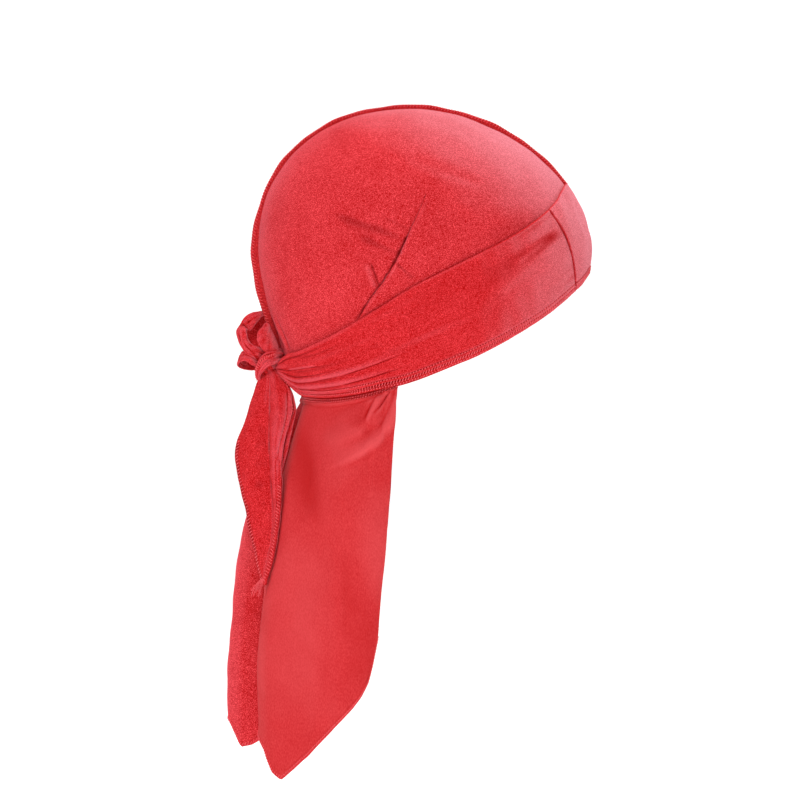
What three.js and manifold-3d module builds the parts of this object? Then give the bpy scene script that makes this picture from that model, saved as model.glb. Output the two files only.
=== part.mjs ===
// A long-tail bandana cap, tied on: a two-panel crown with a raised centre seam, a forehead panel,
// two wide straps that run round to a bow at the back, and a long loose tail below the nape seam.
// Millimetres, +Z up, +X to the forehead, +Y to the wearer's left.
// The origin is on the inside of the crown's top, where the cap rests on the head.
import * as THREE from "three";
import { mergeVertices } from "three/addons/utils/BufferGeometryUtils.js";
import Module from "manifold-3d";

const wasm = await Module();
wasm.setup();

// Driving dimensions. A turn is an angle round the head, in degrees: 0 at the forehead, 90 at the
// ear, 180 at the back. A depth is measured down from the outside of the crown's top.
const CROWN_CLOTH = 1.4;
const STRAP_CLOTH = 1.6;
const TAIL_CLOTH = 1.4;
const GAP = 0.5;
const SEAM_HALF_GAP = 0.2;
const ROOM = 0.35;

// The outside of the crown, from its top to its widest level and on down to the nape.
const WIDEST_DEPTH = 84;
const TAPER_POWER = 1.5;
const FRONT = { reach: 106, dome: 1.83, taper: 164 };
const BACK = { reach: 92.2, dome: 2.2, taper: 164 };
const SIDE = { reach: 77, dome: 2.35, taper: 196 };

// The edges that run round the head, as depths.
const EDGES = [
  { turn: 0, bandTop: 45.5, bandBottom: 98, crownEdge: 89.5 },
  { turn: 20, bandTop: 49.3, bandBottom: 108.8, crownEdge: 100 },
  { turn: 40, bandTop: 63.8, bandBottom: 127, crownEdge: 118.5 },
  { turn: 60, bandTop: 81.3, bandBottom: 144.3, crownEdge: 137 },
  { turn: 75, bandTop: 94.5, bandBottom: 154.2, crownEdge: 148.5 },
  { turn: 90, bandTop: 108.2, bandBottom: 162.8, crownEdge: 158.5 },
  { turn: 105, bandTop: 122, bandBottom: 167.2, crownEdge: 167 },
  { turn: 120, bandTop: 133, bandBottom: 170.3, crownEdge: 170.8 },
  { turn: 135, bandTop: 140.5, bandBottom: 171.6, crownEdge: 172.6 },
  { turn: 150, bandTop: 145, bandBottom: 171.2, crownEdge: 172.6 },
  { turn: 165, bandTop: 147, bandBottom: 167.5, crownEdge: 171.8 },
  { turn: 172, bandTop: 147.4, bandBottom: 161.5, crownEdge: 171.6 },
  { turn: 180, bandTop: 147.5, bandBottom: 154, crownEdge: 171.5 },
];

// The slanting seam between the forehead panel and each strap.
const PANEL_TOP_TURN = 38.5;
const PANEL_BOTTOM_TURN = 20.5;

// Folds across a strap where the knot gathers it, and how far they stand out there.
const STRAP_FOLDS = [
  { across: 0, lift: 0.6 },
  { across: 0.14, lift: 0 },
  { across: 0.3, lift: 0.5 },
  { across: 0.44, lift: 0 },
  { across: 0.53, lift: 1.5 },
  { across: 0.61, lift: 0 },
  { across: 0.69, lift: 1.8 },
  { across: 0.77, lift: 0 },
  { across: 0.85, lift: 1.8 },
  { across: 0.93, lift: 0.2 },
  { across: 1, lift: 1 },
];
const GATHER_FROM_TURN = 95;
const GATHER_FULL_TURN = 160;
const STRAP_END_TURN = 176;
const STRAP_RISE_FROM_TURN = 152;
const STRAP_RISE_TO_TURN = 184;
const STRAP_RISE = 8;

// The pleat that the strap pulls into each side of the crown: a line, and its step.
const PLEAT_LINE = [
  { depth: 0, turn: 84, step: 0 },
  { depth: 55, turn: 85, step: 0 },
  { depth: 76, turn: 90.7, step: 1.8 },
  { depth: 99, turn: 98, step: 2.4 },
  { depth: 127, turn: 112, step: 1.6 },
  { depth: 150, turn: 122, step: 0 },
  { depth: 180, turn: 130, step: 0 },
];
const PLEAT_STEP_WIDTH = 1.2;
const PLEAT_FADE = 20;
const PLEAT_DIP = 0.35;
const PLEAT_DIP_FADE = 10;
const PLEAT_CLEAR_OF_BAND = 1;
// Grid lines beside the pleat, as shares of half a turn from it.
const PLEAT_COLUMNS = [-0.18, -0.12, -0.05, -0.008, 0, 0.02, 0.06];

// The overlocked centre seam, which stands proud from the forehead to the knot.
const SEAM_WIDTH = 2;
const SEAM_STARTS_DEPTH = 44;
const SEAM_ENDS_DEPTH = 138;
const SEAM_HEIGHTS = [
  { along: 0, height: 1.6 },
  { along: 0.1, height: 2.6 },
  { along: 0.4, height: 2.3 },
  { along: 0.65, height: 2.2 },
  { along: 0.76, height: 2.6 },
  { along: 0.85, height: 4.4 },
  { along: 0.93, height: 5.2 },
  { along: 1, height: 2.4 },
];

// The tail, from its front edge to the crest of the centre pleat. Each row is a line that hangs
// from the nape seam: its place at mid height and at the foot, the depth of its hem, and how far
// the gathers below the nape seam push it out.
const TAIL_LINES = [
  { turn: 97, midX: -13.4, midY: 62, footX: -21.4, footY: 58, hem: 314, gather: 0.5 },
  { turn: 100, midX: -15.5, midY: 62.8, footX: -23.4, footY: 59, hem: 329, gather: 2.2 },
  { turn: 103.5, midX: -18.5, midY: 63.4, footX: -25.8, footY: 60, hem: 340, gather: -1.6 },
  { turn: 108, midX: -22.8, midY: 63.4, footX: -29.8, footY: 61, hem: 348, gather: 2 },
  { turn: 113, midX: -27, midY: 63, footX: -35, footY: 61.5, hem: 355, gather: -1.4 },
  { turn: 119, midX: -33.5, midY: 62, footX: -41.5, footY: 61, hem: 362, gather: 1 },
  { turn: 126, midX: -40.5, midY: 60, footX: -49, footY: 60, hem: 370, gather: 0 },
  { turn: 134, midX: -49, midY: 55, footX: -58, footY: 57, hem: 379, gather: -1.6 },
  { turn: 142, midX: -57.5, midY: 49, footX: -66.5, footY: 51.5, hem: 388, gather: -2.2 },
  { turn: 150, midX: -66.5, midY: 40, footX: -78, footY: 43, hem: 398.5, gather: -0.8 },
  { turn: 158, midX: -74.3, midY: 27, footX: -87.3, footY: 32, hem: 390, gather: 1 },
  { turn: 164, midX: -77.5, midY: 17.5, footX: -91.5, footY: 22, hem: 375, gather: 1.4 },
  { turn: 168.5, midX: -75, midY: 11.5, footX: -86.5, footY: 15, hem: 371, gather: 0 },
  { turn: 172.5, midX: -76, midY: 7.5, footX: -86, footY: 9.5, hem: 378, gather: 0 },
  { turn: 176.5, midX: -85, midY: 4.5, footX: -100, footY: 5.5, hem: 383, gather: 0 },
  { turn: 180, midX: -94, midY: 0, footX: -109.4, footY: 0, hem: 367, gather: 0 },
];
const GATHER_REACH = 70;
const HEADER_HEIGHT = 5.5;
const HEADER_STEP = 0.7;
const HEADER_SHARE = 0.04;
const TAIL_MID_DEPTH = 230;
const TAIL_FOOT_DEPTH = 340;
const TAIL_STEPS_DOWN = 13;
const TAIL_TUCK = 1.2;
const HEADER_LIP = 0.004;

// The knot, a lump with a groove round it between its two wraps.
const KNOT = { x: -87, y: -6, z: -151.2, long: 11.5, across: 7, deep: 10, lean: 34 };
const KNOT_GROOVE = { deep: 1.2, wide: 0.16 };

// The loops of the bow. Each row is a fold line across the ribbon on its way from the knot and
// back; near and far are the sides of the ribbon.
const LOOPS = [
  {
    name: "bow_loop_upper",
    near: -10,
    far: 14,
    path: [
      { x: -91.8, z: -144 },
      { x: -98.4, z: -141 },
      { x: -102.9, z: -136.8 },
      { x: -104.4, z: -131.4 },
      { x: -102.6, z: -126 },
      { x: -98.4, z: -122.1 },
      { x: -93, z: -120.9 },
      { x: -89.7, z: -123.6 },
      { x: -88.6, z: -129.6 },
      { x: -89, z: -136.8 },
      { x: -87.6, z: -142.8 },
    ],
  },
  {
    name: "bow_loop_inner",
    near: -21,
    far: -11,
    path: [
      { x: -89.6, z: -144 },
      { x: -91.8, z: -138.6 },
      { x: -92.1, z: -132.6 },
      { x: -88.8, z: -128.7 },
      { x: -85.2, z: -129.6 },
      { x: -82.9, z: -135.6 },
      { x: -82.6, z: -141.6 },
    ],
  },
  {
    name: "bow_loop_lower",
    near: -13,
    far: 5,
    path: [
      { x: -92.7, z: -153 },
      { x: -98.4, z: -153.9 },
      { x: -103.2, z: -152.7 },
      { x: -103.6, z: -149.7 },
      { x: -101.6, z: -145.2 },
      { x: -97.2, z: -144.4 },
      { x: -92.4, z: -146.6 },
    ],
  },
];
const LOOP_PINCH = 0.6;
const LOOP_FAR_SHARE = 0.45;

// The strap end that hangs from the knot. Each row is a level: its two edges and the crease
// between its two halves, and how far each stands to the wearer's right.
const END_LEVELS = [
  { depth: 155, left: -88.6, leftOut: 6, crease: -85.8, creaseOut: 9, right: -82, rightOut: 8 },
  { depth: 161, left: -91.4, leftOut: 7, crease: -84.6, creaseOut: 11, right: -79.2, rightOut: 11 },
  { depth: 167, left: -93.8, leftOut: 8, crease: -84.6, creaseOut: 13, right: -73.6, rightOut: 15 },
  { depth: 174.2, left: -96.2, leftOut: 9, crease: -84.6, creaseOut: 15, right: -71, rightOut: 19 },
  { depth: 180.2, left: -98, leftOut: 10, crease: -84.6, creaseOut: 17, right: -70.2, rightOut: 22 },
  { depth: 187.4, left: -100, leftOut: 12, crease: -84.6, creaseOut: 19, right: -72.4, rightOut: 24 },
  { depth: 200, left: -105, leftOut: 14, crease: -84.6, creaseOut: 21, right: -75.8, rightOut: 26 },
  { depth: 210.2, left: -105.4, leftOut: 15, crease: -84, creaseOut: 23, right: -77, rightOut: 27 },
  { depth: 228.2, left: -102, leftOut: 17, crease: -83, creaseOut: 24, right: -77, rightOut: 30 },
  { depth: 240.2, left: -99, leftOut: 18, crease: -81.8, creaseOut: 25, right: -77.8, rightOut: 31 },
  { depth: 252.2, left: -97, leftOut: 20, crease: -82.4, creaseOut: 26, right: -79.2, rightOut: 32 },
  { depth: 261.2, left: -94.2, leftOut: 21, crease: -83.6, creaseOut: 28, right: -80.6, rightOut: 32 },
  { depth: 270.2, left: -92.1, leftOut: 23, crease: -86, creaseOut: 29, right: -82.2, rightOut: 32 },
  { depth: 284, left: -89, leftOut: 25, crease: -87.5, creaseOut: 28, right: -86, rightOut: 29 },
];
// Across a strap end from its left edge to its right: where each ridge or valley lies and how far
// it stands out.
const END_FOLDS = [
  { across: -1, out: -0.8 },
  { across: -0.75, out: 0.9 },
  { across: -0.4, out: 1.4 },
  { across: -0.12, out: 0.4 },
  { across: 0, out: -1.6 },
  { across: 0.14, out: 1.4 },
  { across: 0.5, out: 2.2 },
  { across: 0.8, out: 0.6 },
  { across: 1, out: -0.4 },
];
const END_FULL_WIDTH = 24;

// How finely the pieces are cut into flat faces.
const CROWN_STEPS = { ahead: 8, behind: 11, down: 13 };
const PANEL_STEPS = { along: 12, across: 5 };
const SEAM_STEPS = { front: 9, back: 22 };
const KNOT_STEPS = { round: 20, down: 14 };
const STRAP_STEPS = 26;
const LOOP_STEPS_ACROSS = 3;
const END_STEPS = 20;

const COLOURS = { velvet: "#dc2330", seam: "#b51d24", tail: "#dd3540" };

const { clamp, degToRad, lerp, smoothstep } = THREE.MathUtils;
const vector = (x, y, z) => new THREE.Vector3(x, y, z);
const evenly = (count, from = 0, to = 1) =>
  Array.from({ length: count + 1 }, (_, i) => lerp(from, to, i / count));

// A smooth function of a table's first column that returns its other columns by name.
function smoothTable(rows, start = THREE.ZeroSlopeEnding) {
  const [at, ...names] = Object.keys(rows[0]).filter((name) => Number.isFinite(rows[0][name]));
  const positions = rows.map((row) => row[at]);
  const spline = new THREE.CubicInterpolant(
    positions,
    rows.flatMap((row) => names.map((name) => row[name])),
    names.length,
    new Float64Array(names.length),
  );
  spline.settings = { endingStart: start, endingEnd: THREE.ZeroSlopeEnding };
  return (value) => {
    const found = spline.evaluate(clamp(value, positions[0], positions.at(-1)));
    return Object.fromEntries(names.map((name, i) => [name, found[i]]));
  };
}

const edgeAt = smoothTable(EDGES);
const pleatAt = smoothTable(PLEAT_LINE);
const seamHeightAt = smoothTable(SEAM_HEIGHTS);
const strapFoldAt = smoothTable(STRAP_FOLDS);

// How far one profile of the crown stands from its axis at a depth, and how fast that grows.
function reachAt({ reach, dome, taper }, depth) {
  return depth <= WIDEST_DEPTH
    ? reach * (1 - ((WIDEST_DEPTH - depth) / WIDEST_DEPTH) ** dome) ** (1 / dome)
    : reach * (1 - ((depth - WIDEST_DEPTH) / taper) ** TAPER_POWER) ** (1 / TAPER_POWER);
}

function growthAt(profile, depth) {
  const step = 0.01;
  return (reachAt(profile, depth + step) - reachAt(profile, Math.max(depth - step, 0))) / (2 * step);
}

// A point on the crown's outside, or that far above it. side is -1 for the wearer's right.
function onHead(side, turn, depth, lift = 0) {
  const lengthwise = turn <= 90 ? FRONT : BACK;
  const [c, s] = [Math.cos(degToRad(turn)), Math.sin(degToRad(turn))];
  const [a, b] = [reachAt(lengthwise, depth), reachAt(SIDE, depth)];
  const squeeze = a / Math.max(b, 1e-6);
  const rise = c * c * growthAt(lengthwise, depth) + s * s * growthAt(SIDE, depth) * squeeze;
  const normal = depth > 0 ? vector(c, s * squeeze, rise).normalize() : vector(0, 0, 1);
  const point = vector(a * c, b * s, CROWN_CLOTH - depth).addScaledVector(normal, lift);
  return point.setY(point.y * side);
}

// The direction square to a sheet at (u, v), from its two tangents.
function squareTo(sheet, u, v) {
  const step = 1e-3;
  const along = sheet(u + step, v).sub(sheet(u - step, v));
  return along.cross(sheet(u, v + step).sub(sheet(u, v - step))).normalize();
}

// Turns every face round if the closed surface is inside out.
function faceOutward(geometry) {
  const { array } = geometry.attributes.position;
  const corner = (i) => vector().fromArray(array, geometry.index.array[i] * 3);
  let volume = 0;
  for (let i = 0; i < geometry.index.count; i += 3)
    volume += corner(i).dot(corner(i + 1).cross(corner(i + 2)));
  if (volume < 0) geometry.setIndex([...geometry.index.array].reverse());
  return geometry;
}

// A wall of cloth between two faces, each a function of (u, v), closed round its rim.
function clothWall(outer, inner, us, vs) {
  const [columns, rows] = [us.length, vs.length];
  const points = [outer, inner].flatMap((face) => us.flatMap((u) => vs.map((v) => face(u, v))));
  const at = (face, i, j) => (face * columns + i) * rows + j;
  const index = [];
  const quad = (a, b, c, d) => index.push(a, b, c, a, c, d);
  for (let i = 0; i + 1 < columns; i++)
    for (let j = 0; j + 1 < rows; j++) {
      quad(at(0, i, j), at(0, i + 1, j), at(0, i + 1, j + 1), at(0, i, j + 1));
      quad(at(1, i, j), at(1, i, j + 1), at(1, i + 1, j + 1), at(1, i + 1, j));
    }
  for (let i = 0; i + 1 < columns; i++) {
    quad(at(0, i, 0), at(1, i, 0), at(1, i + 1, 0), at(0, i + 1, 0));
    quad(at(0, i, rows - 1), at(0, i + 1, rows - 1), at(1, i + 1, rows - 1), at(1, i, rows - 1));
  }
  for (let j = 0; j + 1 < rows; j++) {
    quad(at(0, 0, j), at(0, 0, j + 1), at(1, 0, j + 1), at(1, 0, j));
    quad(at(0, columns - 1, j), at(1, columns - 1, j), at(1, columns - 1, j + 1), at(0, columns - 1, j + 1));
  }
  return closedGeometry(points, index);
}

// The same from one middle sheet and a thickness.
function clothSheet(sheet, thickness, us, vs) {
  const face = (share) => (u, v) =>
    sheet(u, v).addScaledVector(squareTo(sheet, u, v), thickness * share);
  return clothWall(face(0.5), face(-0.5), us, vs);
}

function closedGeometry(points, index) {
  const loose = new THREE.BufferGeometry().setFromPoints(points).setIndex(index);
  const merged = mergeVertices(loose, 1e-3);
  const kept = [];
  for (let i = 0; i < merged.index.count; i += 3) {
    const [a, b, c] = merged.index.array.slice(i, i + 3);
    if (a !== b && b !== c && c !== a) kept.push(a, b, c);
  }
  return faceOutward(merged.setIndex(kept));
}

function solidOf(geometry) {
  return new wasm.Manifold(
    new wasm.Mesh({
      numProp: 3,
      vertProperties: geometry.attributes.position.array,
      triVerts: new Uint32Array(geometry.index.array),
    }),
  );
}

// The first geometry with the others cut away, as the largest body that is left.
function cutBy(geometry, ...cutters) {
  const left = cutters.reduce((solid, cutter) => solid.subtract(solidOf(cutter)), solidOf(geometry));
  const largest = left.decompose().reduce((a, b) => (a.volume() > b.volume() ? a : b));
  const { vertProperties, triVerts } = largest.getMesh();
  return new THREE.BufferGeometry()
    .setAttribute("position", new THREE.BufferAttribute(vertProperties, 3))
    .setIndex(new THREE.BufferAttribute(triVerts, 1));
}

// How far the pleat lifts the crown's cloth: a step at its line that fades towards the forehead,
// and a shallow dip behind it. ahead is the way from the line towards the forehead.
function pleatLift(ahead, step) {
  if (ahead > 0) return step * smoothstep(ahead, 0, PLEAT_STEP_WIDTH) * Math.exp(-ahead / PLEAT_FADE);
  return -PLEAT_DIP * step * Math.exp(ahead / PLEAT_DIP_FADE);
}

// One panel of the crown, from the centre seam at the forehead round to the nape. Its grid lines
// lean with the pleat, so that one of them runs along it.
function crownPanel(side) {
  const middle = pleatAt(0).turn;
  const halfGap = vector(0, side * SEAM_HALF_GAP, 0);
  const face = (lift) => (u, v) => {
    const share = 1 - Math.cos((v * Math.PI) / 2);
    const straight = u * 180;
    const guess = edgeAt(straight).crownEdge * share;
    const lean = pleatAt(guess).turn - middle;
    const room = straight < middle ? straight / middle : (180 - straight) / (180 - middle);
    const turn = straight + lean * room;
    const depth = edgeAt(turn).crownEdge * share;
    const line = pleatAt(depth);
    const ahead = degToRad(line.turn - turn) * reachAt(SIDE, depth);
    const shown = smoothstep(edgeAt(turn).bandTop - depth, PLEAT_CLEAR_OF_BAND, PLEAT_DIP_FADE);
    return onHead(side, turn, depth, lift + pleatLift(ahead, line.step) * shown).add(halfGap);
  };
  const [start, ...beside] = PLEAT_COLUMNS.map((away) => middle / 180 + away);
  const end = beside.pop();
  const us = [...evenly(CROWN_STEPS.ahead, 0, start), ...beside, ...evenly(CROWN_STEPS.behind, end, 1)];
  return clothWall(face(0), face(-CROWN_CLOTH), us, evenly(CROWN_STEPS.down));
}

// A point of the band that the forehead panel and the straps make, across it from its top edge.
function onBand(side, turn, across, lift, room = 0) {
  const { bandTop, bandBottom } = edgeAt(turn);
  const gathered = smoothstep(turn, GATHER_FROM_TURN, GATHER_FULL_TURN);
  const rise = STRAP_RISE * smoothstep(turn, STRAP_RISE_FROM_TURN, STRAP_RISE_TO_TURN);
  const folds = gathered * strapFoldAt(across).lift;
  const depth = lerp(bandTop - room, bandBottom + room, across);
  return onHead(side, turn, depth, lift + rise + folds);
}

const panelSeamTurn = (across) => lerp(PANEL_TOP_TURN, PANEL_BOTTOM_TURN, across);

function foreheadPanel() {
  const face = (lift) => (u, v) => {
    const turn = u * (panelSeamTurn(v) - SEAM_HALF_GAP);
    return onBand(Math.sign(u) || 1, Math.abs(turn), v, lift);
  };
  return clothWall(face(GAP + STRAP_CLOTH), face(GAP), evenly(PANEL_STEPS.along, -1, 1), evenly(PANEL_STEPS.across));
}

// A strap, or the same grown by the room that its neighbours leave to it.
function strap(side, room = 0) {
  const face = (lift) => (u, v) =>
    onBand(side, lerp(panelSeamTurn(v) + SEAM_HALF_GAP, STRAP_END_TURN, u), v, lift, room);
  const vs = STRAP_FOLDS.map((row) => row.across);
  return clothWall(face(GAP + STRAP_CLOTH + room), face(GAP - room), evenly(STRAP_STEPS), vs);
}

// The seam stands on the crown along the centre plane: over the top by angle about a point level
// with the widest part, so that its steps are even.
function centreSeam() {
  const path = [
    ...evenly(SEAM_STEPS.front, SEAM_STARTS_DEPTH ** 0.5, 0).map((root) => [0, root * root]),
    ...evenly(SEAM_STEPS.back, 0, SEAM_ENDS_DEPTH ** 0.5).slice(1).map((root) => [180, root * root]),
  ];
  const face = (y) => (u, v) => {
    const [turn, depth] = path[Math.round(u * (path.length - 1))];
    return onHead(1, turn, depth, GAP + v * seamHeightAt(u).height).setY(y);
  };
  return clothWall(face(SEAM_WIDTH / 2), face(-SEAM_WIDTH / 2), evenly(path.length - 1), [0, 1]);
}

// A point of the tail: line counts the rows of its table from the right front edge to the centre
// and back to the left front edge, and down goes from the nape seam to the hem.
const tailLineAt = smoothTable(TAIL_LINES.map((row, line) => ({ line, ...row })));
const TAIL_HALF = TAIL_LINES.length - 1;

function tailPoint(line, down) {
  const side = line <= TAIL_HALF ? -1 : 1;
  const row = tailLineAt(TAIL_HALF - Math.abs(line - TAIL_HALF));
  const topDepth = edgeAt(row.turn).crownEdge + GAP;
  const depth = down < HEADER_SHARE
    ? topDepth + HEADER_HEIGHT * (down / HEADER_SHARE)
    : lerp(topDepth + HEADER_HEIGHT, row.hem, (down - HEADER_SHARE) / (1 - HEADER_SHARE));
  const top = onHead(1, row.turn, topDepth, -TAIL_CLOTH / 2 - TAIL_TUCK);
  const levels = [
    { depth: topDepth, x: top.x, y: top.y },
    { depth: TAIL_MID_DEPTH, x: row.midX, y: row.midY },
    { depth: TAIL_FOOT_DEPTH, x: row.footX, y: row.footY },
  ];
  const { x, y } = smoothTable(levels, THREE.ZeroCurvatureEnding)(depth);
  const below = clamp((depth - topDepth - HEADER_HEIGHT) / GATHER_REACH, 0, 1);
  const push = row.gather * Math.sin(Math.PI * Math.sqrt(below));
  const outward = vector(Math.cos(degToRad(row.turn)), Math.sin(degToRad(row.turn)), 0);
  const point = vector(x, y, CROWN_CLOTH - depth).addScaledVector(outward, push);
  return point.setY(point.y * side);
}

// Its header hem is a little thicker, and steps back to the single cloth below it.
function tail() {
  const lines = 2 * TAIL_HALF;
  const sheet = (u, v) => tailPoint(clamp(u, 0, 1) * lines, v);
  const face = (share) => (u, v) => {
    const header = share < 0 && v < HEADER_SHARE ? HEADER_STEP : 0;
    return sheet(u, v).addScaledVector(squareTo(sheet, u, v), TAIL_CLOTH * share - header);
  };
  const vs = [0, HEADER_SHARE - HEADER_LIP, ...evenly(TAIL_STEPS_DOWN, HEADER_SHARE, 1)];
  return clothWall(face(0.5), face(-0.5), evenly(lines), vs);
}

// The knot's lump, grown by the room that its neighbours leave to it.
function knot(room = 0) {
  const lump = new THREE.SphereGeometry(1, KNOT_STEPS.round, KNOT_STEPS.down);
  const position = lump.attributes.position;
  for (let i = 0; i < position.count; i++) {
    const p = vector().fromBufferAttribute(position, i);
    const groove = KNOT_GROOVE.deep * Math.exp(-((p.x / KNOT_GROOVE.wide) ** 2));
    const size = vector(KNOT.across, KNOT.deep, KNOT.long).addScalar(room - groove);
    position.setXYZ(i, ...p.multiply(size));
  }
  lump.rotateY(degToRad(KNOT.lean)).translate(KNOT.x, KNOT.y, KNOT.z);
  lump.deleteAttribute("normal");
  lump.deleteAttribute("uv");
  return closedGeometry(pointsOf(lump), [...lump.index.array]);
}

function pointsOf(geometry) {
  const { position } = geometry.attributes;
  return Array.from({ length: position.count }, (_, i) => vector().fromBufferAttribute(position, i));
}

// A ribbon that leaves the knot, turns round and comes back. Its ends are pinched into the knot,
// and its far side is drawn together, so that its inside shows through its open near side.
function bowLoop({ near, far, path }) {
  const line = new THREE.CatmullRomCurve3(path.map(({ x, z }) => vector(x, 0, z)));
  const middle = (near + far) / 2;
  const heart = line.getPoint(0.5).lerp(line.getPoint(0), 0.5);
  const ribbon = (u, v) => {
    const away = Math.sin(Math.PI * clamp(u, 0, 1)) ** LOOP_PINCH;
    const half = lerp(Math.min(KNOT.deep / 2, far - middle), far - middle, away);
    const centre = lerp(lerp(KNOT.y, middle, LOOP_PINCH), middle, away);
    const share = lerp(1, LOOP_FAR_SHARE, (away * (v + 1)) / 2);
    return heart.clone().lerp(line.getPoint(clamp(u, 0, 1)), share).setY(centre + v * half);
  };
  return clothSheet(ribbon, STRAP_CLOTH, evenly(2 * path.length), evenly(LOOP_STEPS_ACROSS, -1, 1));
}

// The strap end, folded lengthwise and tapering to its tip.
function strapEnd() {
  const levelAt = smoothTable(END_LEVELS);
  const foldAt = smoothTable(END_FOLDS);
  const [first, last] = [END_LEVELS[0].depth, END_LEVELS.at(-1).depth];
  const sheet = (u, v) => {
    const depth = lerp(first, last, v);
    const level = levelAt(depth);
    const across = Math.abs(u);
    const [edge, edgeOut] = u < 0 ? [level.left, level.leftOut] : [level.right, level.rightOut];
    const fullness = clamp((level.right - level.left) / END_FULL_WIDTH, 0, 1);
    const out = lerp(level.creaseOut, edgeOut, across) + foldAt(u).out * fullness;
    return vector(lerp(level.crease, edge, across), -out, CROWN_CLOTH - depth);
  };
  const us = END_FOLDS.map((row) => row.across);
  return clothSheet(sheet, STRAP_CLOTH, us, evenly(END_STEPS));
}

function named(name, geometry, colour) {
  const shown = geometry.toNonIndexed();
  shown.computeVertexNormals();
  const finish = { color: COLOURS[colour], roughness: 0.85, metalness: 0 };
  const mesh = new THREE.Mesh(shown, new THREE.MeshStandardMaterial(finish));
  mesh.name = name;
  return mesh;
}

const cap = new THREE.Group();
const knotRoom = knot(ROOM);
cap.add(
  named("crown_right", crownPanel(-1), "velvet"),
  named("crown_left", crownPanel(1), "velvet"),
  named("centre_seam", centreSeam(), "seam"),
  named("forehead_panel", foreheadPanel(), "velvet"),
  named("strap_right", cutBy(strap(-1), knotRoom), "velvet"),
  named("strap_left", cutBy(strap(1), knotRoom), "velvet"),
  named("tail", tail(), "tail"),
  named("knot", knot(), "velvet"),
  named("strap_end", cutBy(strapEnd(), knotRoom, strap(-1, ROOM)), "velvet"),
  ...LOOPS.map((loop) => named(loop.name, cutBy(bowLoop(loop), knotRoom), "velvet")),
);

export default cap;
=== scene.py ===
"""Dresses the long-tail bandana cap in velvet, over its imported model.

Lengths in the pieces are millimetres until a mesh is made. A turn is an angle round the crown in
degrees, 0 at the front and 180 at the back, and a depth is measured down from the outside of the
crown's top. Side -1 is the right side, which faces the camera.
"""
import logging
import math
from dataclasses import dataclass
from enum import Enum

import bmesh
import bpy
import numpy as np
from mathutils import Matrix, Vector


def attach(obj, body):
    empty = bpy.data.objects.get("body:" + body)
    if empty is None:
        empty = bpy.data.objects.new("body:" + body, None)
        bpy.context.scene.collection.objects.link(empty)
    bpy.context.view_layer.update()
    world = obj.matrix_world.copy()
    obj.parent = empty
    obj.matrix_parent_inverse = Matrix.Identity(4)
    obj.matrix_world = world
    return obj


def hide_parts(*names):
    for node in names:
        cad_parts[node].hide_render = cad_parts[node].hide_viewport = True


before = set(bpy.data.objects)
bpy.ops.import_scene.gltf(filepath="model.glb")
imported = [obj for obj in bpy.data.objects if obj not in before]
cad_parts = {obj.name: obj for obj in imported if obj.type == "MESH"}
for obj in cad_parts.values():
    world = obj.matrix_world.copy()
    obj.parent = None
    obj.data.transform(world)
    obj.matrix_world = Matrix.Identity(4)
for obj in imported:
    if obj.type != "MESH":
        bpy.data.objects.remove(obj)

log = logging.getLogger("cap")

Array = np.ndarray
Material = bpy.types.Material
Piece = bpy.types.Object
Colour = tuple[float, float, float]
Triple = tuple[float, float, float]
MM = 0.001
RIGHT, LEFT = -1, 1
SIDES = ((RIGHT, "right"), (LEFT, "left"))
UP = np.array([0.0, 0.0, 1.0])
THREAD_SIDES = 6


# Numbers and curves


class Ending(Enum):
    """How a table's curve runs out at an end."""

    LEVEL = "level"
    STRAIGHT = "straight"


def eased(p: Array, gap: Array | float, v0: Array, v1: Array, m0: Array, m1: Array) -> Array:
    """Goes from one value to another with a given slope at each.

    Args:
        p: the share of the way between them.
        gap: how far apart they are.
        v0: the first value.
        v1: the second value.
        m0: the slope at the first.
        m1: the slope at the second.

    Returns:
        The value on the way.
    """
    ease = p * p * (3 - 2 * p)
    return v0 * (1 - ease) + v1 * ease + p * (1 - p) ** 2 * gap * m0 - p * p * (1 - p) * gap * m1


class CurveTable:
    """Smooth functions through the rows of a table, one for each column after the first."""

    def __init__(self, rows: list[tuple[float, ...]], ending: Ending = Ending.LEVEL) -> None:
        """Takes the table.

        Args:
            rows: the rows, with the position in the first column.
            ending: how the curves run out at both ends.
        """
        table = np.array(rows, float)
        self.at = table[:, 0]
        self.values = table[:, 1:]
        gaps = np.diff(self.at)[:, None]
        secants = np.diff(self.values, axis=0) / gaps
        self.slopes = np.zeros_like(self.values)
        self.slopes[1:-1] = (secants[1:] + secants[:-1]) / 2
        if ending is Ending.STRAIGHT:
            self.slopes[0], self.slopes[-1] = secants[0], secants[-1]

    def __call__(self, where: Array | float) -> list[Array]:
        """Reads every column at the given positions.

        Args:
            where: the positions, which are held inside the table.

        Returns:
            One array for each column.
        """
        spot = np.clip(np.asarray(where, float), self.at[0], self.at[-1])
        i = np.clip(np.searchsorted(self.at, spot, side="right") - 1, 0, len(self.at) - 2)
        gap = self.at[i + 1] - self.at[i]
        share = (spot - self.at[i]) / gap
        return [eased(share, gap, v[i], v[i + 1], m[i], m[i + 1])
                for v, m in zip(self.values.T, self.slopes.T)]


def smooth(value: Array | float, low: float, high: float) -> Array:
    """Rises smoothly from 0 at low to 1 at high."""
    share = np.clip((np.asarray(value, float) - low) / (high - low), 0, 1)
    return share * share * (3 - 2 * share)


def unit(vectors: Array) -> Array:
    """Scales vectors to length 1."""
    return vectors / np.maximum(np.linalg.norm(vectors, axis=-1, keepdims=True), 1e-9)


def mixed(first: Array | float, second: Array | float, share: Array | float) -> Array:
    """Goes from the first to the second by a share."""
    return first + (second - first) * share


def hump(value: Array, centre: Array | float, width: Array | float) -> Array:
    """Rises to 1 at the centre, and falls off softly over the width on both sides."""
    return np.exp(-(((value - centre) / width) ** 2))


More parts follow.
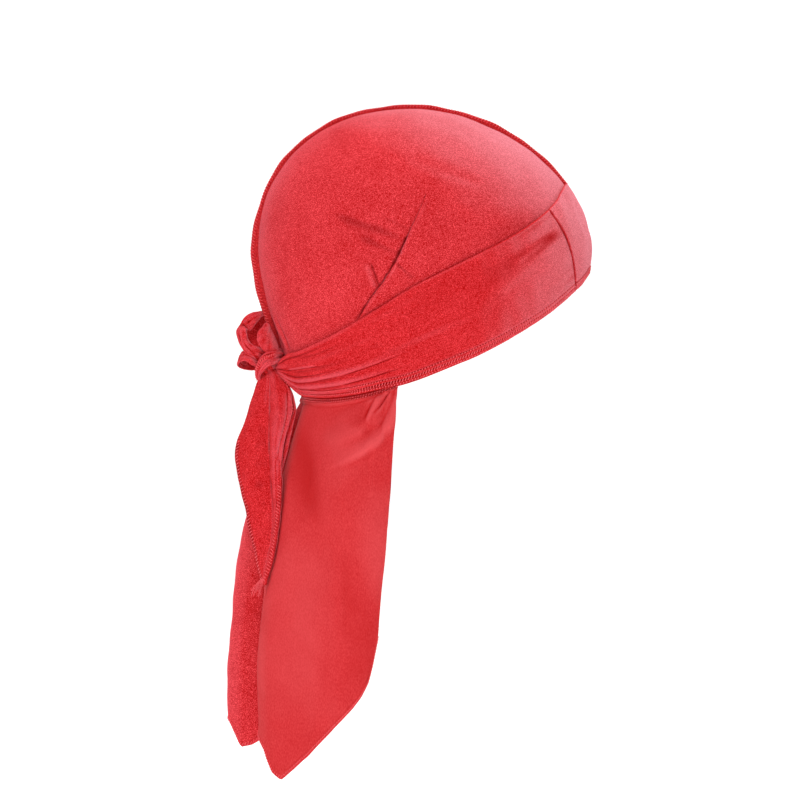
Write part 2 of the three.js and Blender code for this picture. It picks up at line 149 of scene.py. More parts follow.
@dataclass(frozen=True)
class Humps:
    """Soft humps and dips side by side, as rows of centre, width and height."""

    rows: tuple[Triple, ...]

    def at(self, value: Array) -> Array:
        """Adds up their heights."""
        return sum(height * hump(value, centre, width) for centre, width, height in self.rows)


def stepped(parts: tuple[tuple[float, float, int], ...], *extra: Array) -> Array:
    """Makes steps that are even within each part.

    Args:
        parts: where each part starts and ends, and how many steps it has.
        extra: further steps, such as close ones at a rim.

    Returns:
        All the steps, in order.
    """
    even = [np.linspace(start, end, count) for start, end, count in parts]
    return np.unique(np.concatenate([*even, *extra]).round(6))


def rim_steps(count: int, length: float, closest: tuple[float, ...] = (0.25, 0.7, 1.4)) -> Array:
    """Makes even steps from 0 to 1 with closer ones at both rims.

    Args:
        count: the number of even steps.
        length: the cloth's length along the steps.
        closest: distances from each rim at which there is a step too.

    Returns:
        The steps, in order.
    """
    near = np.array(closest) / length
    return stepped(((0, 1, count + 1),), near, 1 - near)


@dataclass(frozen=True)
class Unevenness:
    """Soft random hills on cloth, from a few waves in fixed random directions."""

    amount: float
    wavelength: float
    seed: int
    waves: int = 14

    def at(self, points: Array) -> Array:
        """Gives the height of the hills at each point.

        Args:
            points: positions in millimetres.

        Returns:
            Heights in millimetres.
        """
        chance = np.random.default_rng(self.seed)
        total = np.zeros(points.shape[:-1])
        for _ in range(self.waves):
            way = unit(chance.normal(size=3)) * (2 * np.pi / self.wavelength)
            total += np.sin(points @ way * chance.uniform(0.6, 1.5) + chance.uniform(0, 2 * np.pi))
        return self.amount * total / math.sqrt(self.waves)


# Cloth meshes


@dataclass
class Sheet:
    """A piece of cloth as a grid of points on its middle, with its outward normals."""

    points: Array
    thickness: Array | float
    outward: int = 1
    # The tone is colour painted on the outer face: painted shade below 0 and painted highlight above 0,
    # with some random streaks.
    tone: Array | float = 0.0

    def normals(self) -> Array:
        """Works out the outward normals of the grid.

        Returns:
            A vector of length 1 for each point.
        """
        along = np.gradient(self.points, axis=0)
        across = np.gradient(self.points, axis=1)
        square = np.cross(along, across)
        length = np.linalg.norm(square, axis=-1)
        normal = unit(square) * self.outward
        normal[length < 1e-9] = UP
        return normal

    def raised(self, height: Array | float) -> "Sheet":
        """Moves the cloth along its normals."""
        moved = self.points + self.normals() * np.asarray(height)[..., None]
        return Sheet(moved, self.thickness, self.outward, self.tone)

    def toned(self, tone: Array | float) -> "Sheet":
        """Paints the tone onto the outer face: lighter as painted highlight, or darker as painted shade
        where it is below 0.
        """
        return Sheet(self.points, self.thickness, self.outward, self.tone + tone)

    def bend(self) -> Array:
        """Measures how sharply the outer face bends.

        Returns:
            From -1 in sharp creases to 1 on sharp ridges, and about 0 where it is smooth.
        """
        outer, normal = self.faces()[0], self.normals()
        total = np.zeros(outer.shape[:2])
        for axis in (0, 1):
            step, turn = np.gradient(outer, axis=axis), np.gradient(normal, axis=axis)
            total += (step * turn).sum(-1) / np.maximum((step * step).sum(-1), 0.01)
        calm = total.copy()
        calm[1:-1] = (total[:-2] + 2 * total[1:-1] + total[2:]) / 4
        return np.tanh(calm * 1.6)

    def rim_distance(self, axis: int, last: bool) -> Array:
        """Measures how far each point lies from one rim.

        Args:
            axis: 0 for the rims where the first index ends, 1 for the others.
            last: whether it is the rim at the last index.

        Returns:
            Distances along the grid in millimetres.
        """
        gaps = np.linalg.norm(np.diff(self.points, axis=axis), axis=-1)
        start = np.zeros_like(self.points[..., 0])
        walked = np.cumsum(gaps, axis=axis)
        if axis == 0:
            start[1:] = walked
            return start[-1:] - start if last else start
        start[:, 1:] = walked
        return start[:, -1:] - start if last else start

    def rounded(self, radius: float = 1.2, sides: str = "uUvV") -> "Sheet":
        """Thins the cloth towards its rims, so that they look folded or worn round.

        Args:
            radius: how far from a rim the thinning starts.
            sides: the rims to thin: u and U where the first index starts and ends, v and V the same
                for the second.

        Returns:
            The sheet with its thickness at every point.
        """
        half = np.full(self.points.shape[:2], 1.0) * self.thickness
        for side in sides:
            distance = self.rim_distance("uv".index(side.lower()), side.isupper())
            inside = 1 - np.clip(distance / radius, 0, 1)
            half = half * (0.3 + 0.7 * np.sqrt(1 - inside * inside))
        return Sheet(self.points, half, self.outward, self.tone)

    def line_at(self, distance: float, last: bool = True,
                axis: int = 1) -> tuple[Array, Array, Array]:
        """Finds the line on the outer face at a distance from one rim.

        Args:
            distance: the distance from the rim in millimetres.
            last: whether it is the rim at the last index.
            axis: 0 for the rims where the first index ends, 1 for the others.

        Returns:
            The points, the direction across the line, and the outward normals.
        """
        away = self.rim_distance(axis, last)
        outer, normal = self.faces()[0], self.normals()
        if axis == 0:
            away, outer, normal = away.T, outer.swapaxes(0, 1), normal.swapaxes(0, 1)
        if last:
            away, outer, normal = away[:, ::-1], outer[:, ::-1], normal[:, ::-1]
        count = np.arange(len(away))
        after = np.clip((away < distance).sum(1), 1, away.shape[1] - 1)
        near, far = away[count, after - 1], away[count, after]
        share = np.clip((distance - near) / np.maximum(far - near, 1e-6), 0, 1)[:, None]
        line = mixed(outer[count, after - 1], outer[count, after], share)
        across = unit(outer[count, after] - outer[count, after - 1])
        return line, across, unit(mixed(normal[count, after - 1], normal[count, after], share))

    def faces(self) -> tuple[Array, Array]:
        """Gives the outer and the inner face as grids of points."""
        reach = self.normals() * (np.asarray(self.thickness)[..., None] / 2)
        return self.points + reach, self.points - reach


def new_piece(name: str, points: Array, faces: list[list[int]], finish: list[Material],
              slots: Array | None = None) -> Piece:
    """Makes a smooth mesh object in metres.

    Args:
        name: the piece's name.
        points: its points in millimetres.
        faces: its faces, as lists of point numbers.
        finish: its materials.
        slots: the material number of each face.

    Returns:
        The object.
    """
    mesh = bpy.data.meshes.new(name)
    mesh.from_pydata((points * MM).tolist(), [], faces)
    mesh.polygons.foreach_set("use_smooth", np.ones(len(mesh.polygons), bool))
    for material in finish:
        mesh.materials.append(material)
    if slots is not None:
        mesh.polygons.foreach_set("material_index", np.asarray(slots, np.int32))
    mesh.validate()
    mesh.update()
    piece = bpy.data.objects.new(name, mesh)
    bpy.context.scene.collection.objects.link(piece)
    return piece


def grid_faces(rows: int, columns: int, first: int, turned: bool) -> Array:
    """Numbers the faces of a grid of points.

    Args:
        rows: points along the first index.
        columns: points along the second.
        first: the number of the grid's first point.
        turned: whether the faces look the other way.

    Returns:
        Four point numbers for each face.
    """
    i, j = np.meshgrid(np.arange(rows - 1), np.arange(columns - 1), indexing="ij")
    corner = first + i * columns + j
    around = [corner, corner + columns, corner + columns + 1, corner + 1]
    return np.stack(around[::-1] if turned else around, -1).reshape(-1, 4)


def tube_faces(first: int, rings: int, sides: int) -> list[list[int]]:
    """Numbers the faces of a closed tube.

    Args:
        first: the number of its first point.
        rings: the number of its rings.
        sides: the points in each ring.

    Returns:
        The point numbers of each face.
    """
    faces = []
    for start in range(first, first + (rings - 1) * sides, sides):
        for s in range(sides):
            t = (s + 1) % sides
            faces.append([start + s, start + t, start + sides + t, start + sides + s])
    faces.append([first + s for s in range(sides)][::-1])
    faces.append([first + (rings - 1) * sides + s for s in range(sides)])
    return faces


def cloth_piece(name: str, sheet: Sheet, outside: Material, inside: Material | None = None,
                patch: Array | None = None) -> Piece:
    """Makes a closed wall of cloth from a sheet.

    Args:
        name: the piece's name.
        sheet: its middle, normals and thickness.
        outside: the material of its outer face.
        inside: the material of its inner face, or none for the same.
        patch: for each face of the grid, whether its outer face takes the inner material.

    Returns:
        The object.
    """
    outer, inner = sheet.faces()
    rows, columns = outer.shape[:2]
    count = rows * columns
    turned = sheet.outward < 0
    top = grid_faces(rows, columns, 0, turned)
    bottom = grid_faces(rows, columns, count, not turned)
    down = np.arange(rows) * columns
    right = np.arange(columns)
    rims = []
    for line, flip in ((down, False), (down + columns - 1, True), (right, True),
                       (right + (rows - 1) * columns, False)):
        rim = np.stack([line[:-1], line[:-1] + count, line[1:] + count, line[1:]], -1)
        rims.append(rim if flip == turned else rim[:, ::-1])
    faces = np.concatenate([top, bottom, *rims])
    slots = np.zeros(len(faces), int)
    materials = [outside]
    if inside is not None:
        materials.append(inside)
        slots[len(top):] = 1
        if patch is not None:
            slots[:len(top)] = patch.reshape(-1).astype(int)
            slots[len(top):len(top) * 2] = 1 - patch.reshape(-1).astype(int)
    points = np.concatenate([outer.reshape(-1, 3), inner.reshape(-1, 3)])
    piece = new_piece(name, points, faces.tolist(), materials, slots)
    # Painted shade in creases and painted highlight on ridges, from how the cloth bends, plus the sheet's
    # painted tone; the inner face takes half of the opposite.
    bend = np.clip(sheet.bend(), -1, 1)
    painted_shading = np.concatenate([(bend + sheet.tone).reshape(-1), -0.5 * bend.reshape(-1)])
    piece.data.attributes.new("painted_shading", "FLOAT", "POINT").data.foreach_set("value", painted_shading)
    return piece


def weld(piece: Piece) -> None:
    """Joins the points of a piece that lie on each other.

    Args:
        piece: the object to mend.
    """
    work = bmesh.new()
    work.from_mesh(piece.data)
    bmesh.ops.remove_doubles(work, verts=work.verts, dist=2e-6)
    bmesh.ops.dissolve_degenerate(work, dist=1e-7, edges=work.edges)
    work.to_mesh(piece.data)
    work.free()
    piece.data.update()


@dataclass(frozen=True)
class Stitching:
    """A row of thread stitches that lie on cloth.

    A stitch's shape has a row for each ring along it: its place from end to end, and its girth.
    """

    pitch: float
    length: float
    thick: float
    lean: float
    raised: float = 0.2
    shape: tuple[tuple[float, float], ...] = (
        (-0.5, 0.0), (-0.42, 0.7), (0.0, 1.0), (0.42, 0.7), (0.5, 0.0))

    def sew(self, name: str, line: Array, across: Array, normal: Array, thread: Material) -> Piece:
        """Lays stitches along a line.

        Args:
            name: the piece's name.
            line: points along the row, on the cloth.
            across: the direction across the row at each point.
            normal: the cloth's outward normal at each point.
            thread: the material.

        Returns:
            The object.
        """
        walked = np.concatenate([[0], np.cumsum(np.linalg.norm(np.diff(line, axis=0), axis=1))])
        spots = np.arange(self.pitch / 2, walked[-1], self.pitch)
        place, cross, up = (
            np.stack([np.interp(spots, walked, values[:, axis]) for axis in range(3)], -1)
            for values in (line, unit(across), unit(normal)))
        along = unit(np.cross(cross, up))
        angle = math.radians(self.lean)
        way = unit(cross) * math.cos(angle) + along * math.sin(angle)
        side = unit(np.cross(way, up))
        points, faces = [], []
        for k in range(len(spots)):
            first = len(points)
            for share, girth in self.shape:
                middle = place[k] + way[k] * self.length * share + up[k] * self.thick * self.raised
                for s in range(THREAD_SIDES if girth else 1):
                    turn = 2 * math.pi * s / THREAD_SIDES
                    out = side[k] * math.cos(turn) + unit(up[k]) * math.sin(turn)
                    points.append(middle + out * girth * self.thick / 2)
            faces += self.stitch_faces(first)
        return new_piece(name, np.array(points), faces, [thread])

    def stitch_faces(self, first: int) -> list[list[int]]:
        """Numbers the faces of one stitch, which ends in a point at both ends.

        Args:
            first: the number of its first point.

        Returns:
            The point numbers of each face.
        """
        rings = [[first + 1 + THREAD_SIDES * r + s for s in range(THREAD_SIDES)]
                 for r in range(len(self.shape) - 2)]
        tip = rings[-1][-1] + 1
        faces = []
        for s in range(THREAD_SIDES):
            t = (s + 1) % THREAD_SIDES
            faces.append([first, rings[0][t], rings[0][s]])
            faces.append([tip, rings[-1][s], rings[-1][t]])
            for ring, after in zip(rings, rings[1:]):
                faces.append([ring[s], ring[t], after[t], after[s]])
        return faces


# Materials


class Signal:
    """A number that varies over a surface, as a socket that takes part in arithmetic."""

    def __init__(self, bench: "Bench", socket: bpy.types.NodeSocket) -> None:
        """Wraps a socket of a material that is being made."""
        self.bench = bench
        self.socket = socket

    def _maths(self, operation: str, first: object, second: object) -> "Signal":
        """Adds a Math node for one operation."""
        node = self.bench.node("ShaderNodeMath", {"operation": operation}, {0: first, 1: second})
        return Signal(self.bench, node.outputs[0])

    def __add__(self, other: object) -> "Signal":
        """Adds."""
        return self._maths("ADD", self, other)

    __radd__ = __add__

    def __sub__(self, other: object) -> "Signal":
        """Subtracts."""
        return self._maths("SUBTRACT", self, other)

    def __rsub__(self, other: object) -> "Signal":
        """Subtracts this from another."""
        return self._maths("SUBTRACT", other, self)

    def __mul__(self, other: object) -> "Signal":
        """Multiplies."""
        return self._maths("MULTIPLY", self, other)

    __rmul__ = __mul__

    def __pow__(self, other: object) -> "Signal":
        """Raises to a power."""
        return self._maths("POWER", self, other)

    def between(self, low: float, high: float) -> "Signal":
        """Rises from 0 at low to 1 at high, and stays there.

        Args:
            low: the value that gives 0.
            high: the value that gives 1.

        Returns:
            The new signal.
        """
        node = self.bench.node("ShaderNodeMapRange", {"clamp": True},
                               {"Value": self, "From Min": low, "From Max": high})
        return Signal(self.bench, node.outputs[0])


class Bench:
    """A material while its nodes are put together."""

    def __init__(self, name: str) -> None:
        """Starts a material with only its output.

        Args:
            name: the material's name.
        """
        self.material = bpy.data.materials.new(name)
        self.material.use_nodes = True
        self.tree = self.material.node_tree
        self.tree.nodes.clear()

    @classmethod
    def on(cls, tree: bpy.types.NodeTree) -> "Bench":
        """Starts on an emptied tree of nodes that something else owns.

        Args:
            tree: the tree.

        Returns:
            The bench.
        """
        bench = cls.__new__(cls)
        bench.tree = tree
        tree.nodes.clear()
        return bench

    def node(self, kind: str, settings: dict[str, object] | None = None,
             sockets: dict[str | int, object] | None = None) -> bpy.types.Node:
        """Adds a node.

        Args:
            kind: the node's type.
            settings: its settings by name, set before the sockets.
            sockets: values or links by the input's name or number.

        Returns:
            The node.
        """
        node = self.tree.nodes.new(kind)
        for key, value in (settings or {}).items():
            setattr(node, key, value)
        for key, value in (sockets or {}).items():
            if isinstance(value, Signal):
                value = value.socket
            if isinstance(value, bpy.types.NodeSocket):
                self.tree.links.new(value, node.inputs[key])
            else:
                node.inputs[key].default_value = value
        return node

    def place(self) -> bpy.types.NodeSocket:
        """Gives the position on the object, in metres."""
        return self.node("ShaderNodeTexCoord").outputs["Object"]

    def stretched(self, scale: Colour) -> bpy.types.NodeSocket:
        """Gives the position multiplied by a scale for each axis.

        Args:
            scale: the scale along each axis.

        Returns:
            The position's socket.
        """
        product = self.node("ShaderNodeVectorMath", {"operation": "MULTIPLY"},
                            {0: self.place(), 1: scale})
        return product.outputs[0]

    def noise(self, size: float, detail: float = 2.0, rough: float = 0.55,
              scale: Colour = (1.0, 1.0, 1.0)) -> Signal:
        """Gives soft noise.

        Args:
            size: the size of its spots in millimetres.
            detail: how many finer layers it has.
            rough: how strong the finer layers are.
            scale: how it is squeezed along each axis.

        Returns:
            The noise, about 0.5 on average.
        """
        node = self.node("ShaderNodeTexNoise", {"noise_dimensions": "3D"}, {
            "Vector": self.stretched(scale), "Scale": 1000 / size, "Detail": detail,
            "Roughness": rough})
        return Signal(self, node.outputs[0])

    def facing(self, way: Triple) -> Signal:
        """Gives 1 where the surface faces a direction of the object, and less elsewhere.

        Args:
            way: the direction, of length about 1.

        Returns:
            The signal.
        """
        normal = self.node("ShaderNodeTexCoord").outputs["Normal"]
        product = self.node("ShaderNodeVectorMath", {"operation": "DOT_PRODUCT"},
                            {0: normal, 1: way})
        return Signal(self, product.outputs["Value"])

    def painted_shading(self) -> Signal:
        """Gives the shading painted on the mesh: painted shade below 0 in creases, painted highlight above
        0 on ridges.
        """
        node = self.node("ShaderNodeAttribute", {"attribute_name": "painted_shading"})
        return Signal(self, node.outputs["Fac"])

    def mix(self, share: Signal | float, first: object, second: object) -> bpy.types.NodeSocket:
        """Mixes two colours."""
        node = self.node("ShaderNodeMix", {"data_type": "RGBA"}, {0: share, 6: first, 7: second})
        return node.outputs[2]

    def bump(self, height: Signal, strength: float, depth: float) -> bpy.types.NodeSocket:
        """Turns a height into a normal.

        Args:
            height: the height, from 0 to 1.
            strength: how much of it shows.
            depth: what a height of 1 stands for, in millimetres.

        Returns:
            The normal.
        """
        node = self.node("ShaderNodeBump", {}, {
            "Height": height, "Strength": strength, "Distance": depth * MM})
        return node.outputs[0]

    def finish(self, **sockets: object) -> Material:
        """Ends in a Principled shader.

        Args:
            sockets: its inputs, with underscores for the spaces in their names.

        Returns:
            The finished material.
        """
        named = {key.replace("_", " "): value for key, value in sockets.items()}
        shader = self.node("ShaderNodeBsdfPrincipled", {}, named)
        output = self.node("ShaderNodeOutputMaterial")
        self.tree.links.new(shader.outputs[0], output.inputs[0])
        return self.material


BLUSH: Colour = (1.0, 0.4, 0.45)


def paint(colour: Colour) -> tuple[float, float, float, float]:
    """Adds full opacity to a colour."""
    return (*colour, 1.0)


@dataclass(frozen=True)
class Velvet:
    """Stretch velvet with its pile side out."""

    name: str = "red_velvet"
    deep: Colour = (0.42, 0.000, 0.000)
    bright: Colour = (0.87, 0.076, 0.092)
    # The crease colour is painted shade in creases. The next colour is a painted highlight on ridges, and
    # the one after is a painted sheen on the side that faces the direction below it, where the lamps light
    # it most.
    crease: Colour = (0.16, 0.000, 0.0005)
    painted_ridge_highlight: Colour = (0.88, 0.130, 0.160)
    painted_sheen: Colour = (0.92, 0.38, 0.45)
    painted_sheen_facing: Triple = (0.7, 0.0, 0.7)
    sheen: float = 0.25
    # How much painted highlight the ridges take.
    painted_highlight_strength: float = 0.5
    grain: float = 0.48
    patch_size: float = 2.6
    cloud_size: float = 26.0

    def make(self) -> Material:
        """Makes the material: speckled nap and patches, painted shade in creases, painted highlights on
        ridges, a painted sheen on the lit side and a soft sheen.

        Returns:
            The material.
        """
        bench = Bench(self.name)
        nap = bench.noise(self.grain, 2.0, 0.7)
        patches = bench.noise(self.patch_size, 2.0)
        clouds = bench.noise(self.cloud_size, 2.0)
        tone = (nap * 0.84 + patches * 0.08 + clouds * 0.08).between(0.39, 0.61) ** 1.6
        painted_shading = bench.painted_shading()
        # Painted sheen: strongest where the surface faces the lit direction, and left out where creases
        # are painted dark.
        pale = bench.facing(self.painted_sheen_facing).between(0.28, 1.0) ** 1.2 * (tone * 0.9 + 0.66)
        pale = pale * (painted_shading + 0.45).between(0.0, 0.45)
        cloth = bench.mix(tone, paint(self.deep), paint(self.bright))
        cloth = bench.mix(pale * 0.5, cloth, paint(self.painted_sheen))
        # Painted shade in creases, then painted highlight on ridges.
        cloth = bench.mix((0 - painted_shading).between(0.15, 0.85) * 0.9, cloth, paint(self.crease))
        cloth = bench.mix(painted_shading.between(0.12, 1.0) * self.painted_highlight_strength, cloth, paint(self.painted_ridge_highlight))
        return bench.finish(
            Base_Color=cloth,
            Roughness=0.9,
            Specular_IOR_Level=0.05,
            Sheen_Weight=self.sheen,
            Sheen_Roughness=0.45,
            Sheen_Tint=paint((1.0, 0.36, 0.46)),
            Normal=bench.bump(nap * 0.7 + patches * 0.3, 0.8, 0.5),
        )


@dataclass(frozen=True)
class KnitBack:
    """The smooth knitted back of the velvet, which the tail shows."""

    name: str = "red_knit_back"
    deep: Colour = (0.50, 0.011, 0.014)
    bright: Colour = (0.64, 0.043, 0.048)
    # Painted shade for creases and painted highlight for ridges.
    crease: Colour = (0.42, 0.000, 0.000)
    painted_ridge_highlight: Colour = (0.76, 0.100, 0.110)
    stitch_size: float = 0.6
    cloud_size: float = 30.0

    def make(self) -> Material:
        """Makes the material: fine upright ribs of knitting under soft clouds of tone, with painted shade
        in creases and painted highlights on ridges.

        Returns:
            The material.
        """
        bench = Bench(self.name)
        clouds = bench.noise(self.cloud_size, 2.0)
        knit = bench.noise(self.stitch_size, 1.0, 0.5, (1.0, 1.0, 0.5))
        tone = (clouds * 0.3 + knit * 0.7).between(0.28, 0.72)
        painted_shading = bench.painted_shading()
        cloth = bench.mix(tone, paint(self.deep), paint(self.bright))
        # Painted shade in creases, then painted highlight on ridges.
        cloth = bench.mix((0 - painted_shading).between(0.04, 0.7) * 0.85, cloth, paint(self.crease))
        cloth = bench.mix(painted_shading.between(0.06, 0.9) * 0.45, cloth, paint(self.painted_ridge_highlight))
        return bench.finish(
            Base_Color=cloth,
            Roughness=0.62,
            Specular_IOR_Level=0.1,
            Sheen_Weight=0.05,
            Sheen_Roughness=0.5,
            Sheen_Tint=paint(BLUSH),
            Normal=bench.bump(knit, 0.35, 0.15),
        )


@dataclass(frozen=True)
class Thread:
    """Red overlock thread."""

    name: str = "red_thread"
    deep: Colour = (0.66, 0.020, 0.028)
    bright: Colour = (0.90, 0.130, 0.155)

    def make(self) -> Material:
        """Makes the material: twisted thread, with a painted highlight where the twist stands out.

        Returns:
            The material.
        """
        bench = Bench(self.name)
        twist = bench.noise(0.35, 1.0)
        tone = twist.between(0.35, 0.65)
        return bench.finish(
            Base_Color=bench.mix(tone, paint(self.deep), paint(self.bright)),
            Roughness=0.6,
            Specular_IOR_Level=0.3,
            Sheen_Weight=0.3,
            Sheen_Tint=paint(BLUSH),
            Normal=bench.bump(twist, 0.3, 0.1),
        )


@dataclass(frozen=True)
class WornEdge:
    """Velvet pressed flat under the overlocking, browner than the rest."""

    name: str = "overlocked_edge"
    deep: Colour = (0.36, 0.004, 0.007)
    bright: Colour = (0.66, 0.030, 0.036)

    def make(self) -> Material:
        """Makes the material: dark flattened pile with the marks of the thread.

        Returns:
            The material.
        """
        bench = Bench(self.name)
        marks = bench.noise(0.9, 2.0)
        tone = marks.between(0.35, 0.65)
        return bench.finish(
            Base_Color=bench.mix(tone, paint(self.deep), paint(self.bright)),
            Roughness=0.85,
            Specular_IOR_Level=0.2,
            Sheen_Weight=0.4,
            Sheen_Roughness=0.4,
            Sheen_Tint=paint(BLUSH),
            Normal=bench.bump(marks, 0.5, 0.3),
        )


@dataclass(frozen=True)
class StudioWhite:
    """The pale sweep under and behind the cap."""

    name: str = "studio_white"

    def make(self) -> Material:
        """Makes the material: matt white that gives off a little light of its own.

        Returns:
            The material.
        """
        bench = Bench(self.name)
        faint = bench.noise(300.0, 1.0)
        return bench.finish(
            Base_Color=bench.mix(faint, paint((0.93, 0.93, 0.93)), paint((0.96, 0.96, 0.96))),
            Roughness=0.95,
            Specular_IOR_Level=0.1,
            Emission_Color=paint((1.0, 1.0, 1.0)),
            Emission_Strength=0.35,
        )


@dataclass
class Wardrobe:
    """The materials that the pieces share."""

    velvet: Material
    # The pressed velvet has less sheen and darker colours, partly painted shade, for the straps, the knot,
    # the bow and the strap end. The next is a copy with a pinker painted sheen, as painted light on the
    # forehead panel.
    pressed: Material
    lit_velvet: Material
    knit: Material
    thread: Material
    edge: Material

    @classmethod
    def filled(cls) -> "Wardrobe":
        """Makes every material once.

        Returns:
            The wardrobe.
        """
        # A darker copy with less sheen, partly as painted shade, and a copy whose painted sheen is pinker
        # and faces the side light.
        pressed = Velvet(name="red_velvet_pressed_and_shaded", bright=(0.84, 0.054, 0.066), painted_sheen_facing=(1.0, 0.0, 0.1),
                         painted_ridge_highlight=(0.90, 0.20, 0.26), sheen=0.06, painted_highlight_strength=0.26)
        lit_velvet = Velvet(name="red_velvet_lit", painted_sheen=(0.98, 0.40, 0.47), painted_sheen_facing=(0.95, 0.0, 0.3))
        return cls(Velvet().make(), pressed.make(), lit_velvet.make(), KnitBack().make(), Thread().make(),
                   WornEdge().make())


# The form of the crown


@dataclass(frozen=True)
class Profile:
    """One outline of the crown, from its axis outwards."""

    reach: float
    dome: float
    taper: float


@dataclass(frozen=True)
class CrownForm:
    """The outside of the crown, and the lines that run round it."""

    cloth: float = 1.4
    widest: float = 84.0
    taper_power: float = 1.5
    front: Profile = Profile(106.0, 1.83, 164.0)
    back: Profile = Profile(92.2, 2.2, 164.0)
    side: Profile = Profile(77.0, 2.35, 196.0)

    def reach(self, profile: Profile, depth: Array) -> Array:
        """Gives how far a profile stands from the axis at a depth.

        Args:
            profile: the outline.
            depth: depths below the top.

        Returns:
            Distances from the axis in millimetres.
        """
        above = np.clip((self.widest - depth) / self.widest, 0, 1)
        below = np.clip((depth - self.widest) / profile.taper, 0, 1)
        dome = (1 - above ** profile.dome) ** (1 / profile.dome)
        taper = (1 - below ** self.taper_power) ** (1 / self.taper_power)
        return profile.reach * np.where(depth <= self.widest, dome, taper)

    def growth(self, profile: Profile, depth: Array) -> Array:
        """Gives how fast a profile grows with depth.

        Args:
            profile: the outline.
            depth: depths below the top.

        Returns:
            The profile's slope at each depth.
        """
        step = 0.01
        return (self.reach(profile, depth + step)
                - self.reach(profile, np.maximum(depth - step, 0))) / (2 * step)

    def point(self, side: int, turn: Array, depth: Array, lift: Array | float = 0.0) -> Array:
        """Gives points on the crown's outside, or above it.

        Args:
            side: RIGHT or LEFT.
            turn: angles round the crown.
            depth: depths below the top.
            lift: heights above the surface.

        Returns:
            The points in millimetres.
        """
        turn, depth, lift = np.broadcast_arrays(
            np.asarray(turn, float), np.asarray(depth, float), np.asarray(lift, float))
        cosine, sine = np.cos(np.radians(turn)), np.sin(np.radians(turn))
        ahead = turn <= 90
        long = np.where(ahead, self.reach(self.front, depth), self.reach(self.back, depth))
        rise_long = np.where(ahead, self.growth(self.front, depth), self.growth(self.back, depth))
        wide = self.reach(self.side, depth)
        squeeze = long / np.maximum(wide, 1e-6)
        rise = cosine ** 2 * rise_long + sine ** 2 * self.growth(self.side, depth) * squeeze
        normal = unit(np.stack([cosine, sine * squeeze, rise], -1))
        normal = np.where((depth <= 0)[..., None], UP, normal)
        spot = np.stack([long * cosine, wide * sine, self.cloth - depth], -1)
        spot = spot + normal * lift[..., None]
        return spot * np.array([1.0, float(side), 1.0])


FORM = CrownForm()

EDGES = CurveTable([
    # turn, band's top, band's bottom, crown's lower edge
    (0, 45.5, 98, 89.5),
    (20, 49.3, 108.8, 100),
    (40, 63.8, 127, 118.5),
    (60, 81.3, 144.3, 137),
    (75, 94.5, 154.2, 148.5),
    (90, 108.2, 162.8, 158.5),
    (105, 122, 167.2, 167),
    (120, 133, 170.3, 170.8),
    (135, 140.5, 171.6, 172.6),
    (150, 145, 171.2, 172.6),
    (165, 147, 167.5, 171.8),
    (172, 147.4, 161.5, 171.6),
    (180, 147.5, 154, 171.5),
])


class Relief(Enum):
    """The shape of a fold across its line."""

    RIDGE = "ridge"
    STEP = "step"


@dataclass(frozen=True)
class Fold:
    """A fold in cloth along a line, as seen from the side that it is on.

    The line runs through points (x, z). left and right are its widths on each side of its way. A
    step is raised on the left, sharply over the right width, and fades over the left one.
    """

    path: tuple[tuple[float, float], ...]
    height: float
    left: float
    right: float
    fade: float = 0.3
    relief: Relief = Relief.RIDGE
    steps: int = 40

    def at(self, points: Array) -> Array:
        """Gives the height of the fold at each point.

        Args:
            points: positions in millimetres.

        Returns:
            Heights in millimetres.
        """
        line = spline(np.array(self.path), np.linspace(0, 1, self.steps + 1))
        start, way = line[:-1], np.diff(line, axis=0)
        spot = points[..., [0, 2]].reshape(-1, 1, 2) - start
        share = np.clip((spot * way).sum(-1) / (way * way).sum(-1), 0, 1)
        gap = spot - share[..., None] * way
        distance = np.linalg.norm(gap, axis=-1)
        pick = (np.arange(len(distance)), distance.argmin(axis=1))
        along = (pick[1] + share[pick]) / self.steps
        turned = way[:, 0] * gap[..., 1] - way[:, 1] * gap[..., 0]
        aside = distance[pick] * np.sign(turned[pick])
        fade = smooth(along, 0, self.fade) * (1 - smooth(along, 1 - self.fade, 1))
        if self.relief is Relief.STEP:
            shape = smooth(aside, -self.right / 2, self.right / 2)
            shape = shape * np.exp(-np.maximum(aside, 0) / self.left)
            shape = shape - 0.6 * hump(aside, -0.8 * self.right, 0.7 * self.right)
        else:
            shape = hump(aside, 0, np.where(aside > 0, self.left, self.right))
        return (self.height * fade * shape).reshape(points.shape[:-1])


def folded(points: Array, folds: tuple[Fold, ...]) -> Array:
    """Adds up the heights of several folds.

    Args:
        points: positions in millimetres.
        folds: the folds.

    Returns:
        The height at each point.
    """
    return sum(fold.at(points) for fold in folds)


